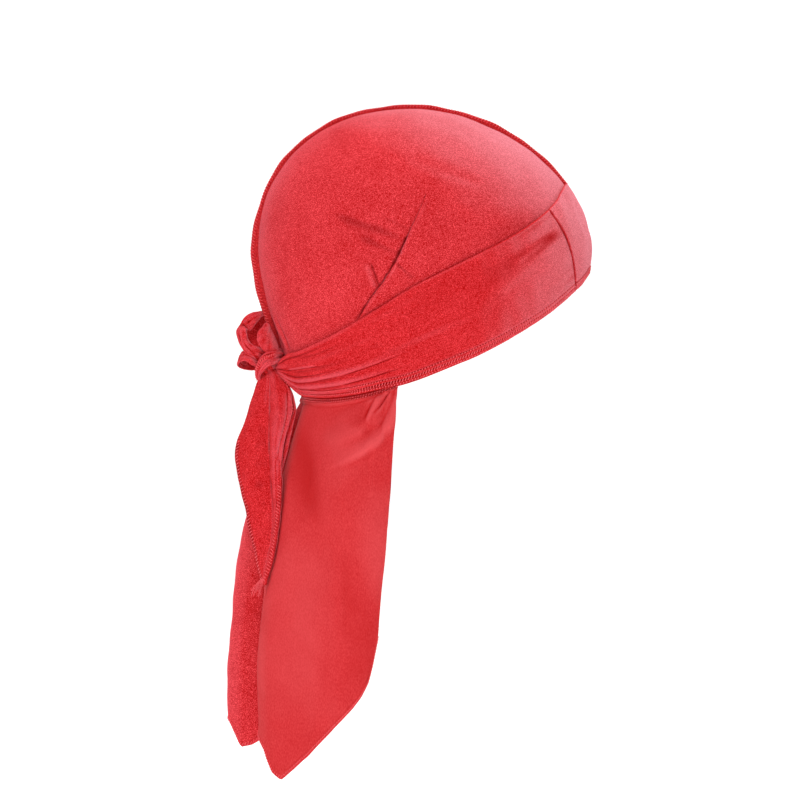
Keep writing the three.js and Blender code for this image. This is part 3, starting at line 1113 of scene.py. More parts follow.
@dataclass
class Crown:
    """The two halves of the crown, with the pleat in each.

    The groove beside the centre seam is given by its place, its width and its depth.
    """

    wardrobe: Wardrobe
    cloth: float = 1.4
    half_gap: float = 0.2
    closed_gap: float = 0.02
    closing: tuple[float, float] = (132.0, 140.0)
    under_band: tuple[float, float] = (-4.0, 6.0)
    pleat_end: tuple[float, float] = (-1.5, 4.0)
    pleat_rise: float = 0.7
    pleat_step: float = 0.6
    pleat_fade: float = 20.0
    half_round: float = 242.0
    half_down: float = 150.0
    groove: Triple = (4.2, 0.6, 0.45)
    pleat_relief: Humps = Humps(((-0.25, 0.42, -0.6), (1.3, 0.7, 0.07)))
    # Painted shade in the pleat's crease and a painted highlight on its lip.
    pleat_painted_shading: Humps = Humps(((0.1, 0.62, -1.1), (-1.4, 1.2, -0.2), (1.6, 0.6, 0.1)))
    folds: tuple[Fold, ...] = (
        Fold(((-52, -61.5), (-36, -67.8), (-21.7, -72.8), (-8, -78.3), (1, -81)), -0.6, 5, 4),
        Fold(((-37, -77), (-24, -81), (-11.6, -86.2), (-3, -88.5)), -0.45, 3.4, 3.2),
        Fold(((-44, -70.5), (-31, -75.5), (-17, -80)), -0.3, 3, 3),
        Fold(((-50, -55.5), (-36, -62.5), (-20, -70.5)), 0.35, 4, 4),
        Fold(((-20.1, -65.4), (-9.3, -70), (1.7, -75.5)), -0.4, 2, 2),
        Fold(((-14.1, -88.6), (-3.7, -98.4), (2.7, -104.2)), -0.6, 1.8, 1.8),
        Fold(((-19.4, -109.9), (-22.9, -100.2), (-26, -91)), 1.3, 5, 1.2, relief=Relief.STEP),
        Fold(((8.5, -65.6), (8.4, -60.4), (9.5, -53)), -0.22, 1.6, 1.6, 0.5),
        Fold(((-6.9, -31), (21.9, -40.1), (47.2, -49.8)), -0.45, 3.5, 3.5),
        Fold(((-85.6, -119.3), (-83.2, -126.5), (-80.2, -133.6), (-76.7, -140.8), (-74, -147)),
             -1, 0.8, 0.6),
        Fold(((-83.8, -117), (-81.2, -124.9), (-78.2, -132.2), (-74.8, -140), (-72.4, -146.5)),
             0.5, 0.7, 0.7),
        Fold(((-82, -117), (-79.2, -125.9), (-76.3, -133), (-73, -140.8), (-71.2, -147)), -0.6, 0.7, 0.7),
        Fold(((-64, -96), (-66.5, -110), (-66, -126), (-62, -138)), -0.4, 3.5, 3.5),
    )
    # Painted shade along creases and along the band's top edge.
    painted_shades: tuple[Fold, ...] = (
        Fold(((-30, -138), (-18.8, -129.2), (16, -103), (50.9, -78.6), (77.1, -61.2)), -0.26, 13, 8, 0.15),
        Fold(((-50, -52), (-30, -68), (-15, -90)), -0.1, 16, 16),
        Fold(((-52, -62.5), (-36, -68.8), (-21.7, -73.8), (-4, -80.3)), -0.22, 3, 3),
        Fold(((-33, -79), (-20, -83), (-6, -88)), -0.18, 2.6, 2.6),
        Fold(((-56, -100), (-40, -128), (-30, -140)), -0.08, 12, 12),
    )

    def pleat(self, turn: Array, depth: Array) -> tuple[Array, Array]:
        """Gives the shape of the pleat.

        Args:
            turn: angles round the crown.
            depth: depths below the top.

        Returns:
            How far it lifts the cloth in millimetres, and the shade and highlight painted along it.
        """
        line, step = self.pleat_line()(depth)
        ahead = np.radians(line - turn) * FORM.reach(FORM.side, depth)
        step = np.maximum(step, 0)
        rise = smooth(ahead, 0, self.pleat_step) * np.exp(-np.maximum(ahead, 0) / self.pleat_fade)
        dip = -0.3 * np.exp(np.minimum(ahead, 0) / (self.pleat_fade / 3)) * (ahead <= 0)
        shown = smooth(EDGES(turn)[0] - depth, *self.pleat_end) * np.clip(step, 0, 1)
        height = self.pleat_rise * step * (rise + dip + self.pleat_relief.at(ahead))
        return height * shown, self.pleat_painted_shading.at(ahead) * shown

    @staticmethod
    def pleat_line() -> CurveTable:
        """Gives the pleat's place round the crown and its step, by depth.

        Returns:
            The table's curves.
        """
        return CurveTable([
            # depth, turn, step
            (0, 84, 0),
            (52, 85, 0),
            (62, 87, 1.2),
            (76, 90.7, 2.1),
            (99, 98, 2.4),
            (127, 112, 2.0),
            (150, 122, 0),
            (180, 130, 0),
        ])

    def steps(self) -> tuple[Array, Array]:
        """Spaces the grid's lines: closer on the sides and along the pleat than elsewhere.

        Returns:
            The steps round the half, and those from its top to its lower edge.
        """
        fold = float(self.pleat_line()(0)[0]) / 180
        beside = np.array([-4, -2.6, -1.6, -1.1, -0.85, -0.65, -0.48, -0.32, -0.16, 0, 0.2, 0.45,
                           0.75, 1.1, 1.5, 2.0, 2.8, 4.0])
        rim = np.array([0.3, 0.8, 1.6]) / self.half_round
        hem = np.array([0.2, 0.6]) / self.half_down
        wide, close = 0.16, 0.018
        u = stepped(((0, fold - wide, 34), (fold - wide, fold - close, 34),
                     (fold + close, 0.86, 96), (0.86, 1, 26)),
                    fold - beside / self.half_round, 1 - rim, rim)
        return u, stepped(((0, 0.5, 40), (0.5, 1, 110)), 1 - hem)

    def sheet(self, side: int) -> Sheet:
        """Lays out one half, with grid lines that lean along the pleat.

        Args:
            side: RIGHT or LEFT.

        Returns:
            Its middle sheet.
        """
        middle = float(self.pleat_line()(0)[0])
        u, v = np.meshgrid(*self.steps(), indexing="ij")
        share = 1 - np.cos(v * np.pi / 2)
        straight = u * 180
        lean = self.pleat_line()(EDGES(straight)[2] * share)[0] - middle
        room = np.where(straight < middle, straight / middle, (180 - straight) / (180 - middle))
        turn = straight + lean * room
        depth = EDGES(turn)[2] * share
        lift, tone = self.pleat(turn, depth)
        points = FORM.point(side, turn, depth, lift - self.cloth / 2)
        closed = smooth(depth, *self.closing)
        points[..., 1] += side * mixed(self.half_gap, self.closed_gap, closed)
        above_band = smooth(EDGES(turn)[0] - depth, *self.under_band)
        height = Unevenness(0.16, 24.0, 5 + side).at(points)
        creases = folded(points, self.folds) * smooth(depth, 10, 30)
        height += creases
        place, width, deep = self.groove
        height -= deep * hump(np.abs(points[..., 1]), place, width) * smooth(depth, 2, 30)
        sheet = Sheet(points, self.cloth, -side).raised(height * above_band)
        # Painted shade and highlight: the pleat's, darker sunk creases and lighter raised ones, and the
        # painted bands.
        return sheet.toned(tone + 0.17 * creases * above_band + folded(points, self.painted_shades))

    def build(self) -> None:
        """Makes both halves."""
        for side, word in SIDES:
            sheet = self.sheet(side).rounded(1.0, "V")
            piece = cloth_piece(f"crown_{word}_velvet", sheet, self.wardrobe.velvet,
                                self.wardrobe.knit)
            weld(piece)
            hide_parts(f"crown_{word}")
            report(piece)


@dataclass
class CentreSeam:
    """The overlocked seam that stands up along the middle of the crown."""

    wardrobe: Wardrobe
    wide: float = 2.0
    sunk: float = 0.9
    gap: float = 0.5
    starts: float = 46.3
    ends: float = 145.5
    front_share: float = 9 / 31
    thread_pitch: float = 1.8
    stitching: Stitching = Stitching(1.9, 2.2, 0.42, 30)
    stitch_height: float = 0.7

    @staticmethod
    def heights() -> CurveTable:
        """Gives the seam's height along its length.

        Returns:
            The table's curve.
        """
        return CurveTable([
            # along, height
            (0, 1.6), (0.1, 2.6), (0.4, 2.3), (0.65, 2.2), (0.75, 2.6), (0.83, 4.0), (0.9, 4.4),
            (0.95, 3.2), (1, 2.4),
        ])

    def path(self, count: int) -> tuple[Array, Array, Array]:
        """Walks from the front edge over the top to the knot.

        Args:
            count: steps along the whole walk.

        Returns:
            The turn, the depth and the share of the seam's length at each step.
        """
        ahead = int(count * self.front_share)
        front = np.linspace(math.sqrt(self.starts), 0, ahead + 1) ** 2
        back = np.linspace(0, math.sqrt(self.ends), count - ahead + 1)[1:] ** 2
        turn = np.concatenate([np.zeros(len(front)), np.full(len(back), 180.0)])
        along = np.concatenate([np.linspace(0, self.front_share, len(front)),
                                np.linspace(self.front_share, 1, len(back) + 1)[1:]])
        return turn, np.concatenate([front, back]), along

    def build(self) -> None:
        """Makes the seam as a rounded, slightly wavy ridge with thread wound over it."""
        turn, depth, along = self.path(460)
        height = self.heights()(along)[0]
        foot = FORM.point(LEFT, turn, depth, -self.sunk)
        base = FORM.point(LEFT, turn, depth, self.gap)
        up = unit(base - foot)
        walked = np.concatenate([[0], np.cumsum(np.linalg.norm(np.diff(base, axis=0), axis=1))])
        sway = 0.3 * np.sin(walked / 5.1) + 0.16 * np.sin(walked / 2.27 + 1)
        height = height + 0.22 * np.sin(walked / 7.3) + 0.16 * np.sin(walked / 3.1 + 2)
        wave = 0.14 * np.sin(walked * 2 * np.pi / self.thread_pitch)
        aside = np.zeros_like(base)
        aside[:, 1] = 1
        ring = [(-0.3, 0.7), (0, 0.8), (0.25, 0.95), (0.55, 1.0), (0.8, 0.92), (0.94, 0.6), (1, 0)]
        outline = ring + [(share, -half) for share, half in ring[-2::-1]]
        rows = []
        for share, half in outline:
            rise = np.where(share < 0, -self.sunk - self.gap, (height + wave) * share)
            swing = (sway * max(share, 0))[:, None] * aside
            rows.append(base + up * rise[:, None] + aside * half * self.wide / 2 + swing)
        grid = np.stack(rows, 1)
        faces = tube_faces(0, *grid.shape[:2])
        ridge = new_piece("centre_seam_ridge", grid.reshape(-1, 3), faces, [self.wardrobe.edge])
        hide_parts("centre_seam")
        report(ridge)
        for side, word in SIDES:
            line = base + up * (height * self.stitch_height)[:, None] + aside * side * self.wide / 2
            line += (sway * self.stitch_height)[:, None] * aside
            stitches = self.stitching.sew(
                f"centre_seam_stitches_{word}", line, up, aside * side, self.wardrobe.thread)
            ride_along(stitches)


@dataclass
class Band:
    """The forehead panel and the two straps, which make one band round the crown."""

    wardrobe: Wardrobe
    cloth: float = 1.6
    gap: float = 0.5
    seam_gap: float = 0.2
    panel_top: float = 38.5
    panel_bottom: float = 20.5
    gather_from: float = 84.0
    gather_full: float = 140.0
    gather_height: float = 0.8
    # How strong the hem's painted shade is in front and behind.
    gather_ebb: tuple[float, float] = (160.0, 174.0)
    hem_dark: tuple[float, float] = (0.15, 0.45)
    ends: float = 176.0
    rise_from: float = 152.0
    rise_to: float = 184.0
    rise: float = 8.0
    hem: float = 4.6
    hem_grooves: Humps = Humps(((5.0, 0.5, -0.3), (2.7, 0.8, -0.12)))
    turned_edge: Humps = Humps(((0.9, 1.0, 0.2),))
    # Painted highlights along the crest of each gather.
    painted_crest_highlights: Humps = Humps(((0.632, 0.01, 0.5), (0.782, 0.01, 0.5), (0.908, 0.01, 0.5)))
    # Painted shade along the seams.
    seam_shade: float = 0.36
    long: float = 190.0
    high: float = 58.0
    strap_folds: tuple[Fold, ...] = (
        Fold(((56.9, -95.3), (68.5, -86.6), (81.3, -76.7)), 0.5, 2.5, 2.5),
        Fold(((49.9, -114.6), (65.6, -102.9), (83.7, -92.4)), -0.5, 3.5, 3.5),
        Fold(((-74.2, -154.6), (-66, -153.7), (-54.2, -152.2)), 0.7, 1.6, 0.7, relief=Relief.STEP),
        Fold(((-70, -149.5), (-56, -146), (-40, -140)), -0.45, 2, 2),
        Fold(((20, -125), (0, -136), (-22, -144)), -0.35, 3, 3),
    )
    # Painted shade and highlight bands on the strap.
    painted_strap_shades: tuple[Fold, ...] = (
        Fold(((26, -114), (62.9, -93.5), (75.7, -82.5), (88, -69)), -0.4, 4.5, 6.5, 0.22),
        Fold(((58, -80), (72, -71), (84, -62)), -0.2, 2.5, 2.5),
        Fold(((58, -86), (74, -75.5), (88, -64)), 0.25, 2.5, 2.5),
        Fold(((56, -108), (74, -96), (92, -82)), 0.2, 4, 4),
    )
    panel_folds: tuple[Fold, ...] = (
        Fold(((94.7, -48.4), (99.5, -63.2), (105.4, -76.8)), -0.9, 3, 2),
        Fold(((84, -52), (90, -68), (97, -84)), 0.4, 2.5, 2.5),
    )

    @staticmethod
    def edges() -> CurveTable:
        """Gives the band's edges, which close in on the knot.

        Returns:
            The curves of the top and the bottom edge, by turn.
        """
        rows = [(t, top, bottom) for t, top, bottom in zip(EDGES.at, *EDGES.values.T[:2]) if t < 155]
        return CurveTable(rows + [(158, 146.0, 170.2), (163, 147.4, 166.3), (168, 149.4, 160.8),
                                  (172, 151.0, 156.8), (176, 152.2, 154.2), (180, 153.0, 153.4)])

    @staticmethod
    def gathers() -> CurveTable:
        """Gives how far each fold stands out across a strap that the knot gathers.

        Returns:
            The table's curve.
        """
        return CurveTable([
            # across, lift
            (0, 0.7), (0.05, 0.6), (0.11, 0), (0.3, 0.5), (0.45, 0.1), (0.56, 0.8), (0.622, 2.2),
            (0.645, 1.9), (0.664, 0.1), (0.70, 0.5), (0.772, 2.2), (0.793, 1.8), (0.812, 0.2),
            (0.85, 0.5), (0.9, 1.6), (0.915, 1.3), (0.93, 0.4), (0.965, 1.2), (1, 2.3),
        ])

    def points(self, side: Array | int, turn: Array, across: Array, lift: Array | float) -> Array:
        """Gives points of the band.

        Args:
            side: RIGHT or LEFT.
            turn: angles round the crown.
            across: from 0 at its top edge to 1 at its lower hem.
            lift: heights above the band's inner face.

        Returns:
            The points in millimetres.
        """
        top, bottom = self.edges()(turn)
        gathered = smooth(turn, self.gather_from, self.gather_full)
        stand = self.rise * smooth(turn, self.rise_from, self.rise_to)
        pressed = self.gather_height * gathered * self.gathers()(across)[0]
        pressed *= 1 - 0.6 * smooth(turn, *self.gather_ebb)
        spot = FORM.point(1, turn, mixed(top, bottom, across), lift + stand + pressed)
        return spot * np.stack([np.ones_like(turn), side * np.ones_like(turn),
                                np.ones_like(turn)], -1)

    def seam_turn(self, across: Array) -> Array:
        """Gives the slanting seam's place round the crown."""
        return mixed(self.panel_top, self.panel_bottom, across)

    def hem_relief(self, sheet: Sheet) -> Array:
        """Gives the relief of the sewn hem and of the turned top edge.

        Args:
            sheet: the cloth.

        Returns:
            Heights in millimetres.
        """
        from_hem = sheet.rim_distance(1, True)
        from_top = sheet.rim_distance(1, False)
        doubled = 0.24 * (1 - smooth(from_hem, self.hem - 0.6, self.hem))
        return doubled + self.hem_grooves.at(from_hem) + self.turned_edge.at(from_top)

    def hem_tone(self, sheet: Sheet, turn: Array) -> Array:
        """Gives the painted shade of the sewn hem, between its light threads.

        Args:
            sheet: the cloth.
            turn: the angle round the crown of each of its points.

        Returns:
            The tone, which is faint in front and strong behind.
        """
        from_hem = sheet.rim_distance(1, True)
        strength = mixed(*self.hem_dark, smooth(turn, 40, 105))
        return -strength * (1 - smooth(from_hem, self.hem + 0.5, self.hem + 1.1))

    def strap_sheet(self, side: int) -> Sheet:
        """Lays out one strap.

        Args:
            side: RIGHT or LEFT.

        Returns:
            Its middle sheet.
        """
        ends, rims = np.array([0.3, 0.8]) / self.long, np.array([0.25, 0.7]) / self.high
        u, v = np.meshgrid(stepped(((0, 0.42, 90), (0.42, 1, 170)), ends, 1 - ends),
                           stepped(((0, 0.55, 44), (0.55, 1, 66)), rims, 1 - rims), indexing="ij")
        turn = mixed(self.seam_turn(v) + self.seam_gap, self.ends, u)
        points = self.points(side, turn, v, self.gap + self.cloth / 2)
        sheet = Sheet(points, self.cloth, -side)
        calm = 1 - 0.6 * smooth(turn, 120, 160)
        height = Unevenness(0.12, 17.0, 21 + side).at(points) * calm
        height += self.hem_relief(sheet) * (1 - smooth(turn, 155, 168))
        height += folded(points, self.strap_folds)
        pulled = 0.2 * np.sin(v * 21 + turn * 0.06) * smooth(turn, 62, 110)
        from_seam = sheet.rim_distance(0, False)
        puckers = 0.16 * np.sin(v * 31 + 2 * np.sin(v * 7)) * np.exp(-from_seam / 12)
        height += puckers * smooth(from_seam, 0, 3)
        sheet = sheet.raised(height + pulled * (1 - smooth(v, 0.45, 0.6)))
        strokes = np.stack([v * self.high + turn * 0.05, turn * 0.16, np.zeros_like(v)], -1)
        streaks = Unevenness(0.11, 9.0, 33).at(strokes)
        # Painted shade along the seam and in bands, and painted highlights along the gathers; the streaks
        # are random.
        painted_shades = folded(points, self.painted_strap_shades) - self.seam_shade * hump(from_seam, 0, 1.0)
        painted_shades += self.painted_crest_highlights.at(v) * smooth(turn, 105, 150)
        return sheet.toned(self.hem_tone(sheet, turn) + streaks + painted_shades)

    def panel_sheet(self) -> Sheet:
        """Lays out the forehead panel.

        Returns:
            Its middle sheet.
        """
        u, v = np.meshgrid(rim_steps(120, 78) * 2 - 1, rim_steps(74, 55), indexing="ij")
        turn = np.abs(u) * (self.seam_turn(v) - self.seam_gap)
        side = np.where(u < 0, -1.0, 1.0)
        points = self.points(side, turn, v, self.gap + self.cloth / 2)
        sheet = Sheet(points, self.cloth, -1)
        height = Unevenness(0.2, 19.0, 31).at(points) + 0.5 * self.hem_relief(sheet)
        sheet = sheet.raised(height + folded(points, self.panel_folds))
        from_seam = np.minimum(sheet.rim_distance(0, False), sheet.rim_distance(0, True))
        # Painted shade on the hem and along the seams.
        return sheet.toned(self.hem_tone(sheet, turn) - self.seam_shade * hump(from_seam, 0, 0.9))

    def hem_stitches(self, name: str, sheet: Sheet) -> None:
        """Sews the overlocked lower hem: two rows of beads with slanted thread between them.

        Args:
            name: what the rows of stitches are called.
            sheet: the cloth that they are sewn on.
        """
        rows = (("edge", 0.9, Stitching(1.8, 1.15, 0.72, 60)),
                ("slanted", 2.7, Stitching(1.8, 2.7, 0.62, 32)),
                ("beaded", 4.5, Stitching(1.8, 1.15, 0.72, 60)))
        for word, distance, sewing in rows:
            line, across, up = sheet.line_at(distance)
            stitches = sewing.sew(f"{name}_{word}", line, across, up, self.wardrobe.thread)
            ride_along(stitches)

    def build(self) -> None:
        """Makes the panel and both straps, with their stitching."""
        panel = self.panel_sheet().rounded()
        piece = cloth_piece("forehead_panel_velvet", panel, self.wardrobe.lit_velvet,
                            self.wardrobe.knit)
        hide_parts("forehead_panel")
        report(piece)
        self.hem_stitches("forehead_panel_hem", panel)
        for side, word in SIDES:
            sheet = self.strap_sheet(side).rounded()
            piece = cloth_piece(f"strap_{word}_velvet", sheet, self.wardrobe.pressed,
                                self.wardrobe.knit)
            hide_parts(f"strap_{word}")
            report(piece)
            self.hem_stitches(f"strap_{word}_hem", sheet)


@dataclass
class Tail:
    """The long loose tail that hangs from the nape seam."""

    wardrobe: Wardrobe
    cloth: float = 1.4
    gap: float = 0.5
    tuck: float = 1.2
    seat: float = 4.0
    mid_depth: float = 230.0
    foot_depth: float = 340.0
    gather_reach: float = 70.0
    header: float = 4.2
    header_step: float = 0.8
    header_relief: Humps = Humps(((2.6, 0.4, -0.3), (3.7, 0.45, 0.35)))
    long: float = 215.0
    round_foot: float = 330.0
    steps_round: int = 256
    pleat_line: float = 12.2
    wing_end: tuple[float, float] = (156.0, 164.0)
    pleat_turns: tuple[float, float] = (164.0, 172.0)
    bent_back: float = 3.4
    bent_over: float = 11.0
    bent_early: float = 5.0
    bent_ebb: tuple[float, float] = (146.0, 158.0)
    push_turns: tuple[float, float] = (122.0, 136.0)
    folds: tuple[Fold, ...] = (
        Fold(((-5, -130), (-7, -158), (-9.6, -172), (-11.9, -183.3), (-15.4, -190.3),
              (-20.1, -196.2), (-27.1, -202), (-37, -207.5), (-54, -214)), 4.6, 2.6, 15, 0.33),
        Fold(((-11, -140), (-12, -160), (-14, -172), (-17.5, -183), (-23.5, -191.5),
              (-31.5, -197.5), (-46, -203)), -2.8, 5, 3.6, 0.35),
        Fold(((-12.6, -163), (-13.6, -168.1), (-15.4, -171.6), (-18.3, -176.3), (-22.5, -182)),
             -1.6, 0.9, 0.9, 0.25),
        Fold(((-15.6, -164), (-17.1, -168.7), (-20.1, -174), (-23.6, -182.1), (-26, -188)),
             1, 1.3, 1.3, 0.3),
        Fold(((-18.6, -166), (-20.6, -171.5), (-24.2, -178.6), (-28, -186.5)), -0.9, 1.6, 1.4, 0.3),
        Fold(((-9.4, -163), (-10.6, -170), (-13, -178), (-17, -186), (-22, -192)), -1.3, 1.5, 1.5, 0.25),
        Fold(((-24, -168.5), (-34, -176), (-50, -182)), -0.6, 3, 3),
        Fold(((-26, -184), (-40, -194), (-54, -199)), 0.6, 5, 5),
        Fold(((-46, -230), (-40, -280), (-36, -330)), -0.8, 7, 7),
        Fold(((-30, -215), (-25, -260), (-24, -310)), 0.7, 8, 8),
    )
    # Painted shade and highlight bands, with a painted highlight along the near wing's rear edge.
    painted_shades: tuple[Fold, ...] = (
        Fold(((-44, -255), (-28, -300), (-27, -325), (-38, -352)), -0.28, 9, 14),
        Fold(((-74, -240), (-66, -300), (-72, -380)), 0.4, 20, 22),
        Fold(((-16, -212), (-19, -250), (-22, -310)), 0.4, 10, 10),
        Fold(((-69, -168), (-67, -195), (-61, -225), (-54, -262)), -0.5, 9, 12, 0.4),
        Fold(((-52, -184), (-44, -200), (-44, -235)), 0.25, 10, 10),
        Fold(((-22, -172), (-29, -184), (-33, -192)), -0.4, 3.5, 5),
        Fold(((-8, -160), (-12, -186), (-26, -203), (-48, -214)), 0.3, 2.2, 5),
        Fold(((-88, -240), (-90.3, -300), (-89, -360)), 0.8, 2.2, 2.2),
    )
    foot: tuple[tuple[float, float], ...] = (
        # turn, depth of the foot
        (97, 314), (100, 329), (103.5, 340), (108, 348), (113, 355), (119, 362), (126, 369.6),
        (134, 378.2), (142, 386.4), (149, 396.5), (150.5, 398.4), (154, 394.5), (158, 382), (164, 373),
        (168.5, 371), (172.5, 375), (175, 380.5), (177, 382), (180, 366),
    )
    turn_back: CurveTable = CurveTable([
        # height, where the wing starts to turn back
        (-330, -44.0), (-301, -46.0), (-266, -48.5), (-231, -51.5), (-208, -55.0), (-190, -58.0),
        (-170, -61.0),
    ])

    @staticmethod
    def lines() -> Array:
        """Gives the lines that hang from the nape seam, from the front edge to the centre pleat.

        Returns:
            A row for each line.
        """
        return np.array([
            # turn, mid x, mid y, foot x, foot y, gather
            (97, -13.4, 62, -21.4, 58, 0.5),
            (100, -15.5, 62.8, -23.4, 59, 1.2),
            (103.5, -18.5, 63.4, -25.8, 60, -0.8),
            (108, -22.8, 63.4, -29.8, 61, 1),
            (113, -27, 63, -35, 61.5, -0.7),
            (119, -33.5, 62, -41.5, 61, 0.5),
            (126, -40.5, 60, -49, 60, 0),
            (134, -49, 55, -58, 57, -1.0),
            (142, -57.5, 49, -66.5, 51.5, -1.6),
            (150, -66.5, 40, -78, 43, -0.8),
            (158, -74.3, 27, -87.3, 32, 1),
            (164, -77.5, 17.5, -91.5, 22, 1.4),
            (168.5, -75, 11.5, -86.5, 15, 0),
            (172.5, -76, 7.5, -88, 9.5, 0),
            (176.5, -85.5, 4.5, -101, 5.5, 0),
            (180, -94, 0, -109.4, 0, 0),
        ])

    def columns(self) -> Array:
        """Spaces the upright lines of the grid, as places in the table of lines and back."""
        return rim_steps(self.steps_round, self.round_foot) * 2 * (len(self.lines()) - 1)

    def drape(self) -> tuple[Array, Array, Array, Array]:
        """Hangs the tail in its large folds, from its right front edge round to its left one.

        Returns:
            The points, and for each its turn, its share of the way down and how far it is below
            the seam.
        """
        rows = self.lines()
        half = len(rows) - 1
        table = CurveTable([(i, *row) for i, row in enumerate(rows)])
        line, down = np.meshgrid(self.columns(), self.levels(), indexing="ij")
        side = np.where(line <= half, -1.0, 1.0)
        turn, mid_x, mid_y, foot_x, foot_y, gather = table(half - np.abs(line - half))
        hem = np.interp(turn, *np.array(self.foot).T)
        widths = CurveTable([(i, row[2], row[4]) for i, row in enumerate(rows)], Ending.STRAIGHT)
        round_y = widths(half - np.abs(line - half))
        behind = smooth(turn, *self.pleat_turns)
        mid_y, foot_y = mixed(mid_y, round_y[0], behind), mixed(foot_y, round_y[1], behind)
        seam = EDGES(turn)[2] + self.gap
        depth = mixed(seam - self.seat, hem, down)
        lift = -self.cloth / 2 - self.tuck - 0.5 * smooth(seam - depth, -0.5, 1)
        top = FORM.point(1, turn, seam, -self.cloth / 2 - self.tuck)
        tucked = FORM.point(1, turn, np.minimum(depth, seam), lift)
        x = hang(depth, seam, self.mid_depth, self.foot_depth, top[..., 0], mid_x, foot_x)
        y = hang(depth, seam, self.mid_depth, self.foot_depth, top[..., 1], mid_y, foot_y)
        x = np.where(depth < seam, tucked[..., 0], x)
        y = np.where(depth < seam, tucked[..., 1], y)
        below = np.clip((depth - seam - self.header) / self.gather_reach, 0, 1)
        push = gather * np.sin(np.pi * np.sqrt(below))
        push = push * mixed(0.25, 1, smooth(turn, *self.push_turns))
        x = x + np.cos(np.radians(turn)) * push
        y = y + np.sin(np.radians(turn)) * push
        return np.stack([x, side * y, FORM.cloth - depth], -1), turn, down, depth - seam

    def sheet(self) -> Sheet:
        """Lays out the tail, with its small folds and its painted shade and highlights.

        Returns:
            Its middle sheet.
        """
        points, turn, down, below = self.drape()
        height = Unevenness(0.5, 60.0, 41).at(points) * smooth(down, 0.05, 0.4)
        height += Unevenness(0.15, 18.0, 43).at(points) * smooth(down, 0.03, 0.3)
        near_wing = 1 - smooth(turn, *self.wing_end)
        clear = smooth(below, self.header - 1.5, self.header + 1.5)
        creases = folded(points, self.folds) * near_wing * clear
        start = self.turn_back(points[..., 2])[0]
        past = np.maximum(start + self.bent_early - points[..., 0], 0)
        bent = -self.bent_back * (1 - hump(past, 0, self.bent_over)) * near_wing
        bent *= smooth(down, 0.06, 0.2) * (1 - smooth(turn, *self.bent_ebb))
        sheet = Sheet(points, self.cloth, 1).raised(height + creases + bent)
        # Painted shade and highlight: the painted bands, folds lighter on their ridges and darker in their
        # hollows, and on the far wing a painted sheen along its left strip with painted shade beside it.
        shade = folded(points, self.painted_shades) * near_wing
        far = (1 - near_wing) * smooth(turn, 170, 173)
        shade += far * (0.4 * smooth(turn, 176, 178) - 0.3 * (1 - smooth(turn, 173, 176)))
        return sheet.toned(0.1 * creases + shade)

    def levels(self) -> Array:
        """Spaces the tail's levels: closer in its top part than below.

        Returns:
            Shares of the way down.
        """
        near_foot = np.array([0.2, 0.6, 1.2, 2.0, 2.8, 3.4, 4.2]) / self.long
        return stepped(((0, 0.3, 76), (0.3, 1, 70)), 1 - near_foot)

    def build(self) -> None:
        """Makes the tail, its header hem and its stitching."""
        sheet = self.sheet()
        from_top = sheet.rim_distance(1, False) - self.seat
        from_foot = sheet.rim_distance(1, True)
        header = 1 - smooth(from_top, self.header - 0.35, self.header + 0.2)
        turned = 0.14 * (1 - smooth(from_foot, 2.0, 3.2))
        sewn = self.header_relief.at(from_top)
        sheet = sheet.raised(header * self.header_step / 2 + sewn + turned)
        # Painted shade along the tail's header, under the strap's hem.
        sheet = sheet.toned(-0.5 * smooth(from_top, -2, 0) * (1 - smooth(from_top, 3.2, 3.5)))
        thick = self.cloth + header * self.header_step
        sheet = Sheet(sheet.points, thick, sheet.outward, sheet.tone).rounded()
        columns = self.columns()
        in_pleat = (columns > self.pleat_line) & (columns < columns[-1] - self.pleat_line)
        in_pleat = in_pleat[:-1]
        patch = np.repeat(in_pleat[:, None], sheet.points.shape[1] - 1, 1)
        piece = cloth_piece("tail_cloth", sheet, self.wardrobe.knit, self.wardrobe.velvet, patch)
        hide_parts("tail")
        report(piece)
        self.stitch(sheet)

    def stitch(self, sheet: Sheet) -> None:
        """Sews the header hem and the foot.

        Args:
            sheet: the finished tail.
        """
        beads = Stitching(1.8, 1.3, 0.7, 58)
        hem = self.seat + self.header
        rows = (("tail_header_stitches_low", hem - 1.5, False, beads),
                ("tail_header_stitches_high", hem - 3.1, False, beads),
                ("tail_foot_stitches", 1.5, True, Stitching(1.8, 2.4, 0.4, 30)))
        for name, distance, at_foot, sewing in rows:
            line, across, up = sheet.line_at(distance, at_foot)
            stitches = sewing.sew(name, line, across, up, self.wardrobe.thread)
            ride_along(stitches)


def hang(depth: Array, d0: Array, d1: float, d2: float, a: Array, b: Array, c: Array) -> Array:
    """Runs a smooth line down through three levels, straight at its start and upright at its foot.

    Args:
        depth: the depths to read it at.
        d0: the first level at each point.
        d1: the second level.
        d2: the third level.
        a: the value at the first level.
        b: the value at the second.
        c: the value at the third.

    Returns:
        The value at each depth.
    """
    first, second = (b - a) / (d1 - d0), (c - b) / (d2 - d1)
    middle = (first + second) / 2
    upper = eased(np.clip((depth - d0) / (d1 - d0), 0, 1), d1 - d0, a, b, first, middle)
    lower = eased(np.clip((depth - d1) / (d2 - d1), 0, 1), d2 - d1, b, c, middle, 0 * middle)
    return np.where(depth < d1, upper, lower)


